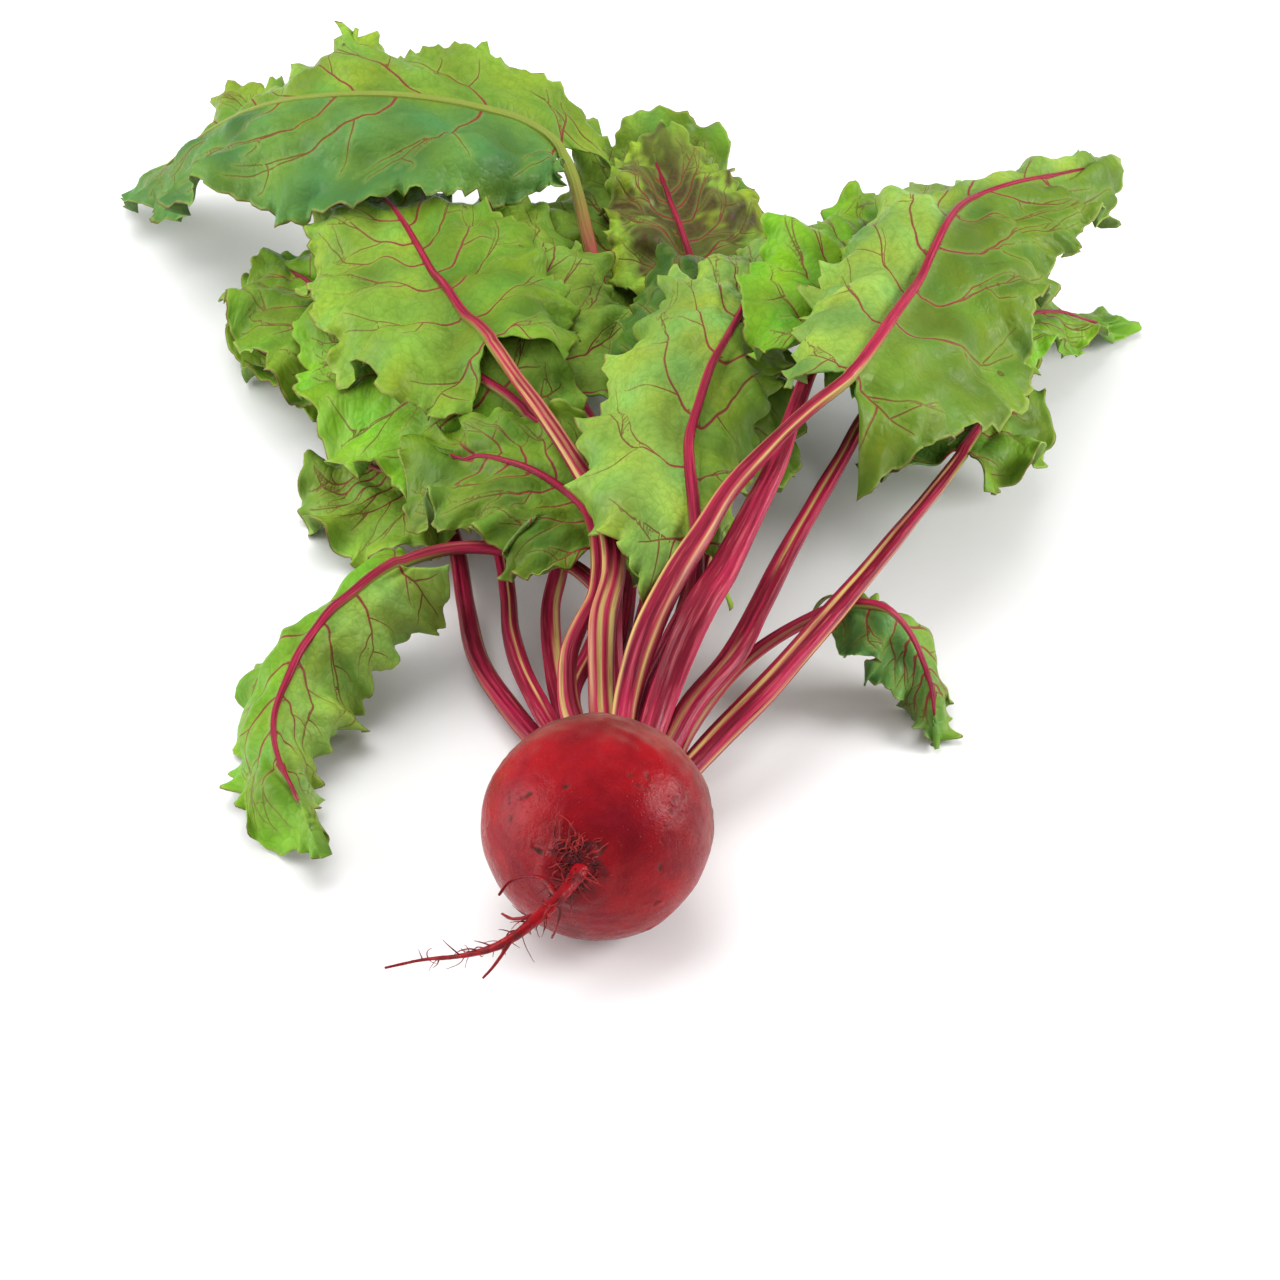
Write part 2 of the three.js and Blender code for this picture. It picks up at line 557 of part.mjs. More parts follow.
// The height of what lies on the table, kept in square cells.
class Pile {
  constructor() {
    this.low = new THREE.Vector2(-280, -20);
    this.columns = Math.ceil(560 / PILE_CELL);
    this.rows = Math.ceil(560 / PILE_CELL);
    this.top = this.cells(0);
  }

  cells(value) {
    return new Float64Array(this.columns * this.rows).fill(value);
  }

  cellOf(point) {
    const column = Math.floor((point.x - this.low.x) / PILE_CELL);
    const row = Math.floor((point.y - this.low.y) / PILE_CELL);
    return row * this.columns + column;
  }

  // Calls back with points close enough together to find every cell under the triangles.
  static cover(points, triangles, visit) {
    for (const triangle of triangles) {
      const [a, b, c] = triangle.map((number) => points[number]);
      const longest = Math.max(a.distanceTo(b), b.distanceTo(c), c.distanceTo(a));
      const steps = Math.ceil(longest / (PILE_CELL * 0.6));
      for (let i = 0; i <= steps; i += 1) {
        for (let j = 0; j <= steps - i; j += 1) {
          const point = a.clone().multiplyScalar(1 - (i + j) / steps)
            .addScaledVector(b, i / steps)
            .addScaledVector(c, j / steps);
          visit(point);
        }
      }
    }
  }

  add(points, triangles) {
    Pile.cover(points, triangles, (point) => {
      const cell = this.cellOf(point);
      this.top[cell] = Math.max(this.top[cell], point.z);
    });
  }

  // How far the leaf has to be raised in each cell. The lift dies away gently round
  // each place that needs it, so that the leaf bends and doesn't break.
  liftFor(points, triangles) {
    const needed = this.cells(0);
    Pile.cover(points, triangles, (point) => {
      const cell = this.cellOf(point);
      const gap = this.top[cell] > 0 ? LEAF_GAP : TABLE_GAP;
      needed[cell] = Math.max(needed[cell], this.top[cell] + gap - point.z);
    });
    const lift = this.widen(this.widen(needed));
    this.spread(lift);
    return lift;
  }

  // Each cell takes the greatest value round it, because the faces are longer than a cell.
  widen(values) {
    const widened = this.cells(0);
    for (let row = 1; row < this.rows - 1; row += 1) {
      for (let column = 1; column < this.columns - 1; column += 1) {
        const cell = row * this.columns + column;
        const round = NEIGHBOURS.map(([across, back]) => values[cell + back * this.columns + across]);
        widened[cell] = Math.max(...round);
      }
    }
    return widened;
  }

  spread(lift) {
    for (let pass = 0; pass < 2; pass += 1) {
      for (const way of [1, -1]) {
        for (let count = 0; count < lift.length; count += 1) {
          const cell = way > 0 ? count : lift.length - 1 - count;
          for (const [across, back] of NEIGHBOURS) {
            const other = cell + back * this.columns + across;
            const fall = LIFT_SLOPE * PILE_CELL * Math.hypot(across, back);
            if (other >= 0 && other < lift.length && lift[other] - fall > lift[cell]) {
              lift[cell] = lift[other] - fall;
            }
          }
        }
      }
    }
  }

  // The lift at a point, smoothly between the middles of the cells.
  liftAt(lift, point) {
    const x = (point.x - this.low.x) / PILE_CELL - 0.5;
    const y = (point.y - this.low.y) / PILE_CELL - 0.5;
    const column = Math.floor(x);
    const row = Math.floor(y);
    const cell = row * this.columns + column;
    const near = mix(lift[cell], lift[cell + 1], x - column);
    const far = mix(lift[cell + this.columns], lift[cell + this.columns + 1], x - column);
    const fromCrown = Math.hypot(point.x - CROWN.x, point.y - CROWN.y);
    return mix(near, far, y - row) * smoothStep(LIFT_START, LIFT_FULL, fromCrown);
  }
}

const NEIGHBOURS = [-1, 0, 1].flatMap((back) => [-1, 0, 1].map((across) => [across, back]));
const CROWN = slotPlace([0, 0]);

// ---------------------------------------------------------------- laying the leaves

function ringsOf(stations, route) {
  return stations.map(({ distance, radius }) => {
    const { right, up } = route.frameAt(distance);
    return stalkRing(route.pointAt(distance), right, up, radius);
  });
}

// The faces of a stalk without its end caps.
function ringTriangles(rings) {
  const count = rings.length * STALK_SIDES;
  const index = Array.from(loft(rings).getIndex().array);
  const triangles = [];
  for (let at = 0; at < index.length; at += 3) {
    triangles.push(index.slice(at, at + 3));
  }
  return triangles.filter((triangle) => Math.max(...triangle) < count);
}

// Points halfway from the ring before this one.
function betweenRings(rings, number) {
  if (number === 0 || number === rings.length) {
    return [];
  }
  return rings[number].map((point, side) => point.clone().lerp(rings[number - 1][side], 0.5));
}

function startLeaf(leaf) {
  const route = leafRoute(leaf);
  const rings = ringsOf(stalkStations(leaf, route), route);
  return { name: leaf.name, rings, sheet: bladeSheet(leaf, route), foot: route.pointAt(route.bladeStart) };
}

// Raises the leaf off what lies under it. `holdAt` is how much of that a point may take.
function raise(shape, pile, firstRing, holdAt) {
  const { rings, sheet } = shape;
  const stalkTriangles = ringTriangles(rings);
  for (let pass = 0; pass < LAYING_PASSES; pass += 1) {
    const placed = thicken(sheet);
    const count = placed.points.length;
    const points = [...placed.points, ...rings.flat()];
    const shifted = stalkTriangles.map((triangle) => triangle.map((number) => number + count));
    const lift = pile.liftFor(points, [...placed.triangles, ...shifted]);
    const raiseAt = (point) => pile.liftAt(lift, point) * holdAt(point);
    const raises = rings.map((ring, number) => {
      const places = [...ring, ...betweenRings(rings, number), ...betweenRings(rings, number + 1)];
      return number < firstRing ? 0 : Math.max(...places.map(raiseAt));
    });
    rings.forEach((ring, number) => ring.forEach((point) => point.setZ(point.z + raises[number])));
    sheet.points.forEach((point) => point.setZ(point.z + raiseAt(point)));
  }
}

function addStalk(shape, pile, firstRing, ringCount) {
  const rings = shape.rings.slice(firstRing, firstRing + ringCount);
  pile.add(rings.flat(), ringTriangles(rings));
}

function addBlade(shape, pile) {
  const blade = thicken(shape.sheet);
  pile.add(blade.points, blade.triangles);
}

// Lays every leaf in turn. The blade of a leaf with `over` waits for the leaf it goes over.
function layLeaves() {
  const pile = new Pile();
  const waiting = [];
  const shapes = [];
  for (const leaf of LEAVES) {
    const shape = startLeaf(leaf);
    shapes.push(shape);
    raise(shape, pile, 0, () => 1);
    if (leaf.over) {
      addStalk(shape, pile, 0, STALK_STATIONS + 1);
      waiting.push({ shape, over: leaf.over });
    } else {
      addStalk(shape, pile, 0, shape.rings.length);
      addBlade(shape, pile);
    }
    for (const { shape: late } of waiting.filter(({ over }) => over === leaf.name)) {
      const { foot } = late;
      const holdAt = (point) => smoothStep(OVER_START, OVER_FULL, Math.hypot(point.x - foot.x, point.y - foot.y));
      raise(late, pile, STALK_STATIONS + 1, holdAt);
      addStalk(late, pile, STALK_STATIONS, late.rings.length);
      addBlade(late, pile);
    }
  }
  return shapes;
}

// ---------------------------------------------------------------- the beetroot

function namedMesh(name, geometry, material) {
  const mesh = new THREE.Mesh(geometry, material);
  mesh.name = name;
  return mesh;
}

const beetroot = new THREE.Group();
beetroot.add(namedMesh('root', fromSolid(rootSolid()), SKIN));
for (const { name, rings, sheet } of layLeaves()) {
  const blade = thicken(sheet);
  beetroot.add(namedMesh(`${name}_stalk`, loft(rings), STALK));
  beetroot.add(namedMesh(`${name}_blade`, meshGeometry(blade.points, blade.triangles), BLADE));
}

export default beetroot;
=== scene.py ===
import math

import bpy
import numpy as np
from mathutils.kdtree import KDTree
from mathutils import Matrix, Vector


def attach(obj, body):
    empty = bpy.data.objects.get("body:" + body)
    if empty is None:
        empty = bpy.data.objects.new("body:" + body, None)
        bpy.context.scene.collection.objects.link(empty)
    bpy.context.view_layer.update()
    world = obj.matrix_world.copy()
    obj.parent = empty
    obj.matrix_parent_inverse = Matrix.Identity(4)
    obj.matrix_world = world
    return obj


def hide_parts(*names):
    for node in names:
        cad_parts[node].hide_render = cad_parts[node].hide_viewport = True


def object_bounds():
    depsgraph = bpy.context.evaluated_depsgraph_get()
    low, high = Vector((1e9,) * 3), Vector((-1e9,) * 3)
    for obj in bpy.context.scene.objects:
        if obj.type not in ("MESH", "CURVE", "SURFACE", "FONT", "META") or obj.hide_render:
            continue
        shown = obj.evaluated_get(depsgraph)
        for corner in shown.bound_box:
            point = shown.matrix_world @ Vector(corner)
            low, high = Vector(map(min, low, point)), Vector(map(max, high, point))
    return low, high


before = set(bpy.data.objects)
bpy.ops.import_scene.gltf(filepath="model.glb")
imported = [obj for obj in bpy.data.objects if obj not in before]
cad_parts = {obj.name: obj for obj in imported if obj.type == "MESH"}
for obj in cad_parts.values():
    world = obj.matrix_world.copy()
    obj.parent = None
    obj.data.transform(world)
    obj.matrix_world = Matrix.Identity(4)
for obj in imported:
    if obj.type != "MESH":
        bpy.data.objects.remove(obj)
CAD_BOX = [[float(number) for number in corner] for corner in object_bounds()]

MM = 0.001
SEED = 20
STALK_DRAWS = 100
GLOBE_DRAWS = 300
ROOT_DRAWS = 400
BOX_LOW, BOX_HIGH = np.array(CAD_BOX) / MM

# ---------------------------------------------------------------- driving dimensions, in mm

ROOT_RADIUS = 37.5
REST_RADIUS = 8
ROOT_CENTRE = np.array([0, 0, math.sqrt(ROOT_RADIUS**2 - REST_RADIUS**2)])
CROWN_AXIS = np.array([0.19, 0.937, -0.29])
CROWN_AXIS = CROWN_AXIS / np.linalg.norm(CROWN_AXIS)
CROWN_HEIGHT = 31
SOCKET_DEPTH = 4
SLOT_SPACING = 9

MIDRIB_RADIUS = 2.3
MIDRIB_TIP_RADIUS = 0.8
MIDRIB_SHARE = 0.8
SLIT_GAP = 0.5
BLADE_THICKNESS = 0.9
BODY_START = 12
BODY_FULL = 45

STALK_STATIONS = 9
BLADE_STATIONS = 12
BLADE_CELLS = 4
CURL_STEPS = 8
ROUTE_STEPS = 12
LAST_RIB_STATION = round(BLADE_STATIONS * MIDRIB_SHARE)
STRAIGHT_START = [-SOCKET_DEPTH, 1, 6, 11]

UP = np.array([0.0, 0.0, 1.0])
ACROSS = np.cross(CROWN_AXIS, UP)
ACROSS = ACROSS / np.linalg.norm(ACROSS)
UPRIGHT = np.cross(ACROSS, CROWN_AXIS)

VEIN_STEPS = 200
VEIN_LENGTH = [0.6, 0.88, 1, 1, 0.96, 0.9, 0.82, 0.72, 0.55]
VEIN_LEAN = [-52, -24, -4, 8, 18, 28, 40, 58, 90]

# ---------------------------------------------------------------- how fine the pieces are

ROWS_PER_STATION = 12
COLUMNS_PER_CELL = 7
RIB_COLUMNS = 2
STALK_SIDES = 44
STALK_STEP = 2.4
SHEET_HALF = 0.32
EDGE_HALF = 0.2
TOOTH_LENGTH = 6.6
ROUNDING = 0.14
DRIFT_WAVES = 9

# In mm: a point stays BOX_GAP inside the part's box, and a hair HAIR_ROOM. The top of a leaf stays
# LID_GAP under the top of the box, and heights bend down to that over about LID_EASE.
BOX_GAP = 0.05
HAIR_ROOM = 0.4
LID_GAP = 0.6
LID_EASE = 1.2

# In mm: the pile's height is kept by squares PILE_SQUARE wide. A point less than PILE_GAP over it,
# or up to PILE_REACH short of that, is raised to that gap.
PILE_SQUARE = 2.0
PILE_GAP = 0.8
PILE_REACH = 3.5

# How near two places must be, in mm, to be the same point of the part.
SAME_PLACE = 0.05
SAME_THICKNESS = 0.012
# How many cells off a point of the blade's other half counts, when the nearest are looked for.
OTHER_HALF = 9

# In mm: RIB_SINK is how far the blade's middle is sunk under the midrib, and RIB_PROUD how far the
# midrib's middle stays over it. RIB_RISE is the midrib's least height over the part's blade, at its
# foot and at its last station, and TIP_RISE that past it, where two more rings end it.
RIB_SINK = 0.35
RIB_PROUD = 0.36
RIB_RISE = [0.2, 0.6]
TIP_RISE = 0.5
TIP_RADII = [0.68, 0.42]
TIP_STATIONS = [LAST_RIB_STATION + 1, LAST_RIB_STATION + 1.8]

# The stalk's grain is a pattern on a tube of this radius, of which one unit is this many mm long.
GRAIN_RADIUS = 3.2
GRAIN_LENGTH = 26

# ---------------------------------------------------------------- the leaves
#
# The shapes are those of the part, in mm and degrees. slot is the column and row on the crown,
# radius the stalk's at its foot and body further on, stalk and rib the points on its way, left
# and right the widths of the halves, fold and curl how each half rises and bends, wave how high
# its ruffles are, and turn shifts them. tints are the greens of the left and the right half, red
# is how far the blade has turned red, tan is how much of the stalk is striped pale, dark is
# how brown the stalk is, laid on thicker along its underside as painted shade, and green is
# how far the midrib has kept the blade's green.

LIGHT = (0.158, 0.268, 0.028)
MID = (0.108, 0.205, 0.015)
FRESH = (0.13, 0.295, 0.012)
OLIVE = (0.082, 0.145, 0.012)
PALE = (0.19, 0.31, 0.05)
DEEP = (0.034, 0.092, 0.012)
BLUISH = (0.066, 0.162, 0.038)
LIME = (0.21, 0.32, 0.03)
DARK_RED = (0.055, 0.016, 0.014)

LEAVES = [
    dict(
        name="leaf_01", slot=[0, -2], radius=3.4, body=3.6,
        stalk=[[9, 78, 12], [14, 118, 18], [23, 174, 18], [24, 231, 20]],
        rib=[[18, 306, 26], [17, 334, 30], [18, 362, 36], [20, 387, 42]],
        left=46, right=46, fold=[12, 10], curl=[-18, -18], wave=9, turn=2.2,
        tints=(LIGHT, MID), tan=0.5, dark=0.3,
    ),
    dict(
        name="leaf_02", slot=[1, -2], radius=3.2, body=3.2,
        stalk=[[21, 78, 9], [27, 122, 14], [37, 176, 16], [42, 231, 20], [41, 277, 26]],
        rib=[[38, 302, 32], [33, 324, 38], [27, 349, 42], [20, 377, 40]],
        left=30, right=36, fold=[20, 12], curl=[-34, -26], wave=7, turn=0.3,
        tints=(LIME, LIME), red=1.0, tan=0.2, dark=0.5,
    ),
    dict(
        name="leaf_03", slot=[-1, -2], radius=3.1, body=3.8,
        stalk=[[-19, 72, 8], [-39, 104, 10], [-48, 145, 8], [-54, 186, 8], [-66, 230, 9]],
        rib=[[-82, 270, 10], [-97, 285, 12], [-114, 299, 12], [-126, 323, 8], [-134, 345, 5]],
        left=26, right=36, fold=[6, 4], curl=[-14, -12], wave=7, turn=0.7,
        tints=(MID, DEEP), tan=0.25, dark=0.4,
    ),
    dict(
        name="leaf_04", slot=[-0.5, -1], radius=3.4, body=3.4,
        stalk=[[0, 78, 22], [7, 113, 22], [10, 157, 22], [10, 199, 26], [5, 252, 32], [-5, 321, 44]],
        rib=[[-17, 364, 60], [-38, 366, 74], [-66, 363, 84], [-98, 363, 86],
                [-131, 375, 74], [-160, 397, 46], [-182, 409, 20]],
        left=50, right=36, fold=[-8, 16], curl=[-22, -16], wave=9, turn=1.1,
        tints=(BLUISH, LIGHT), tan=0.3, dark=0.4, green=0.9,
    ),
    dict(
        name="leaf_05", slot=[-1.5, -1], radius=3.4, body=3.5,
        stalk=[[-12, 78, 17], [-18, 120, 20], [-15, 168, 20], [-30, 216, 22], [-56, 253, 26]],
        rib=[[-76, 276, 30], [-94, 290, 34], [-110, 307, 34], [-123, 329, 28]],
        left=40, right=34, fold=[4, 8], curl=[-18, -14], wave=8, turn=2.6,
        tints=(MID, FRESH), tan=0.5, dark=0.3,
    ),
    dict(
        name="leaf_06", slot=[1.5, -1], radius=3.2, body=2.9,
        stalk=[[30, 67, 19], [50, 92, 30], [67, 100, 38]],
        rib=[[84, 107, 42], [98, 104, 40], [109, 101, 27], [115, 93, 11], [116, 85, 3]],
        left=19, right=17, fold=[-20, -36], curl=[-30, -20], wave=6, turn=2.0,
        tints=(MID, BLUISH), tan=0.2, dark=0.5,
    ),
    dict(
        name="leaf_07", slot=[-2, 0], radius=3.4, body=3.6,
        stalk=[[-19, 74, 21], [-30, 111, 19], [-36, 165, 15], [-48, 193, 14]],
        rib=[[-59, 202, 16], [-71, 207, 18], [-81, 212, 16], [-89, 221, 10]],
        left=37, right=36, fold=[2, 4], curl=[-16, -12], wave=9, turn=1.7,
        tints=(LIGHT, MID), tan=0.7, dark=0.15,
    ),
    dict(
        name="leaf_08", slot=[-1, 0], radius=3.7, body=3.2,
        stalk=[[-10, 70, 29], [-2, 95, 35], [2, 110, 40],
                [-3, 121, 44], [-22, 130, 46], [-49, 133, 47]],
        rib=[[-70, 125, 46], [-88, 111, 40], [-103, 90, 30],
                [-110, 60, 18], [-106, 41, 10], [-98, 26, 6]],
        left=30, right=34, fold=[-30, -34], curl=[-30, -24], wave=8, turn=1.4,
        tints=(PALE, FRESH), tan=0.2, dark=0.0,
    ),
    dict(
        name="leaf_09", slot=[0.5, -1], radius=3.6, body=4.0,
        stalk=[[13, 72, 19], [15, 107, 27], [18, 144, 33], [8, 178, 42]],
        rib=[[-9, 216, 50], [-20, 244, 54], [-31, 280, 56], [-41, 328, 52]],
        left=32, right=42, fold=[8, 2], curl=[-22, -20], wave=8, turn=1.9,
        tints=(FRESH, LIGHT), tan=0.5, dark=0.25,
    ),
    dict(
        name="leaf_10", slot=[1, 0], radius=3.0, body=3.2,
        stalk=[[22, 69, 25], [29, 101, 32], [37, 136, 38], [42, 164, 44]],
        rib=[[43, 186, 48], [40, 208, 50], [38, 236, 52], [42, 264, 50], [53, 294, 44]],
        left=36, right=36, fold=[14, 8], curl=[-40, -36], wave=9, turn=2.5,
        tints=(DEEP, MID), tan=0.4, dark=0.5,
    ),
    dict(
        name="leaf_11", slot=[0, 0], radius=3.5, body=3.8,
        stalk=[[6, 65, 27], [4, 90, 35], [5, 121, 40], [-2, 164, 44], [-14, 184, 46]],
        rib=[[-27, 199, 48], [-42, 212, 48], [-62, 231, 44], [-81, 252, 38], [-95, 271, 30]],
        left=44, right=30, fold=[-2, 4], curl=[-20, -14], wave=8, turn=0.9,
        tints=(FRESH, LIGHT), tan=0.5, dark=0.3,
    ),
    dict(
        name="leaf_12", slot=[-1.5, 1], radius=3.5, body=3.6,
        stalk=[[-10, 62, 35], [-10, 80, 40], [-2, 100, 42]],
        rib=[[-1, 123, 42], [-7, 145, 42], [-21, 158, 40], [-38, 170, 36], [-55, 183, 30]],
        left=38, right=26, fold=[-4, 6], curl=[-20, -10], wave=8, turn=2.9,
        tints=(OLIVE, MID), tan=0.6, dark=0.2,
    ),
    dict(
        name="leaf_13", slot=[-0.5, 1], radius=3.9, body=4.5,
        stalk=[[1, 61, 35], [1, 81, 42], [5, 112, 46],
                [-1, 140, 52], [-16, 168, 58], [-29, 196, 62]],
        rib=[[-40, 220, 64], [-58, 258, 66], [-76, 308, 64], [-90, 345, 58]],
        left=48, right=44, fold=[-6, 6], curl=[-20, -26], wave=9, turn=0.2,
        tints=(LIGHT, MID), tan=0.5, dark=0.05,
    ),
    dict(
        name="leaf_14", slot=[0.5, 1], radius=3.5, body=3.6,
        stalk=[[14, 57, 37], [24, 72, 42], [32, 85, 46]],
        rib=[[33, 102, 50], [32, 118, 54], [31, 147, 58], [37, 173, 58],
                [48, 206, 56], [61, 254, 52], [73, 284, 46]],
        left=42, right=21, fold=[-4, -6], curl=[-26, -30], wave=9, turn=0.9,
        tints=(PALE, LIGHT), tan=0.5, dark=0.4,
    ),
    dict(
        name="leaf_15", slot=[2, 0], radius=3.8, body=4.6,
        stalk=[[37, 48, 29], [53, 62, 38], [84, 103, 48], [111, 155, 44]],
        rib=[[131, 198, 38], [142, 228, 34], [146, 255, 30], [148, 283, 24]],
        left=44, right=24, fold=[-6, -4], curl=[-24, -24], wave=9, turn=2.7,
        tints=(DEEP, MID), tan=1.0, dark=0.0,
    ),
    dict(
        name="leaf_16", slot=[1.5, 1], radius=3.6, body=4.2,
        stalk=[[25, 48, 37], [42, 72, 42], [67, 136, 46], [86, 180, 50], [99, 213, 50]],
        rib=[[110, 231, 50], [128, 255, 46], [150, 279, 38], [174, 304, 25], [194, 317, 10]],
        left=44, right=22, fold=[6, -6], curl=[-18, -20], wave=8, turn=0.5,
        tints=(MID, FRESH), tan=1.0, dark=0.05,
    ),
    dict(
        name="leaf_17", slot=[1, 2], radius=4.4, body=5.8,
        stalk=[[22, 53, 44], [32, 68, 52], [49, 105, 56], [61, 130, 56], [69, 158, 52]],
        rib=[[78, 188, 49], [89, 236, 47], [100, 278, 48], [110, 311, 50]],
        left=34, right=34, fold=[10, 10], curl=[-20, -20], wave=9, turn=1.6,
        tints=(FRESH, MID), tan=0.5, dark=0.0,
    ),
    dict(
        name="leaf_18", slot=[0, 2], radius=4.1, body=5.0,
        stalk=[[10, 53, 47], [16, 66, 58], [31, 92, 66], [48, 120, 76], [69, 136, 84]],
        rib=[[86, 150, 90], [107, 197, 94], [121, 239, 94],
                [139, 286, 90], [163, 310, 82], [188, 340, 68]],
        left=38, right=45, fold=[4, -10], curl=[-34, -22], wave=9, turn=1.2,
        tints=(PALE, OLIVE), tan=1.0, dark=0.0,
    ),
]

# The leaves are laid in this order, but for the first named here, which lies over the other.
LAID_LATE = "leaf_04"
LAID_UNDER_IT = "leaf_13"

# ---------------------------------------------------------------- small helpers


def unit(vector):
    return vector / np.linalg.norm(vector)


def units(vectors):
    return vectors / np.linalg.norm(vectors, axis=-1, keepdims=True)


def mix(a, b, share):
    return a + (b - a) * share


def smooth_step(low, high, value):
    share = np.clip((value - low) / (high - low), 0, 1)
    return share * share * (3 - 2 * share)


def along(values, at):
    """The value at `at`, 0 to 1, of evenly spaced numbers joined by straight lines."""
    return np.interp(at, np.linspace(0, 1, len(values)), values)


def drift_field(dimensions, wavelength, rng):
    """A smooth random function of a place, about -1 to 1, that changes over roughly that wavelength."""
    waves = units(rng.normal(size=(DRIFT_WAVES, dimensions)))
    waves *= 2 * math.pi / wavelength * rng.uniform(0.7, 1.4, (DRIFT_WAVES, 1))
    phases = rng.uniform(0, 2 * math.pi, DRIFT_WAVES)
    return lambda points: np.sin(points @ waves.T + phases).sum(-1) / math.sqrt(DRIFT_WAVES)


def drift(points, wavelength, rng):
    return drift_field(points.shape[-1], wavelength, rng)(points)


def drift_along(distances, wavelength, rng):
    return drift(distances[..., None], wavelength, rng)


def lengths_along(path):
    """How far each point of a path is from its start, along it."""
    return np.concatenate([[0], np.cumsum(np.linalg.norm(np.diff(path, axis=0), axis=1))])


def spline(points, steps):
    """A centripetal Catmull-Rom curve through the points, with `steps` to each stretch."""
    points = np.asarray(points, float)
    before = 2 * points[0] - points[1]
    after = 2 * points[-1] - points[-2]
    knots = np.vstack([before, points, after])
    made = []
    for index in range(len(points) - 1):
        p0, p1, p2, p3 = knots[index:index + 4]
        stretches = ((p0, p1), (p1, p2), (p2, p3))
        d0, d1, d2 = [max(np.linalg.norm(b - a), 1e-8)**0.5 for a, b in stretches]
        start = ((p1 - p0) / d0 - (p2 - p0) / (d0 + d1) + (p2 - p1) / d1) * d1
        end = ((p2 - p1) / d1 - (p3 - p1) / (d1 + d2) + (p3 - p2) / d2) * d1
        for step in range(steps):
            t = step / steps
            made.append(p1 + start * t + (3 * (p2 - p1) - 2 * start - end) * t**2
                        + (2 * (p1 - p2) + start + end) * t**3)
    return np.array(made + [points[-1]])


def resample(count, places):
    """The matrix that takes `count` evenly spaced values to a smooth curve's at those places."""
    matrix = np.zeros((len(places), count))
    for row, place in enumerate(places):
        index = min(int(max(place, 0)), count - 2)
        t = place - index
        if t > 1:
            matrix[row, count - 1] += t
            matrix[row, count - 2] += 1 - t
            continue
        weights = [
            (-t + 2 * t**2 - t**3) / 2,
            (2 - 5 * t**2 + 3 * t**3) / 2,
            (t + 4 * t**2 - 3 * t**3) / 2,
            (-t**2 + t**3) / 2,
        ]
        for offset, weight in zip((-1, 0, 1, 2), weights):
            number = index + offset
            if number < 0:
                matrix[row, 0] += 2 * weight
                matrix[row, 1] -= weight
            elif number > count - 1:
                matrix[row, count - 1] += 2 * weight
                matrix[row, count - 2] -= weight
            else:
                matrix[row, number] += weight
    return matrix


def node_points(name):
    """A CAD node's own points, in mm."""
    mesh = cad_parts[name].data
    points = np.empty(len(mesh.vertices) * 3)
    mesh.vertices.foreach_get("co", points)
    points = points.reshape(-1, 3) / MM
    return points[np.unique(points.round(3), axis=0, return_index=True)[1]]


class Route:
    """A smooth way through a few points, measured along its length."""

    def __init__(self, points, steps=ROUTE_STEPS):
        self.points = spline(points, steps)
        self.reach = lengths_along(self.points)
        self.knots = self.reach[::steps]
        self.length = self.reach[-1]

    def point_at(self, distance):
        return np.stack([np.interp(distance, self.reach, self.points[:, axis]) for axis in range(3)], -1)

    def frame_at(self, distance):
        forward = unit(self.point_at(distance + 3) - self.point_at(distance - 3))
        right = unit(np.cross(forward, UP))
        return forward, right, np.cross(right, forward)


def beside(centre):
    """The directions to the right of a path and above it, at each of its points."""
    forward = units(np.gradient(centre, axis=0))
    right = units(np.cross(forward, UP))
    return right, np.cross(right, forward)


def round_it(sides):
    return np.linspace(0, 2 * math.pi, sides, endpoint=False)


# ---------------------------------------------------------------- materials


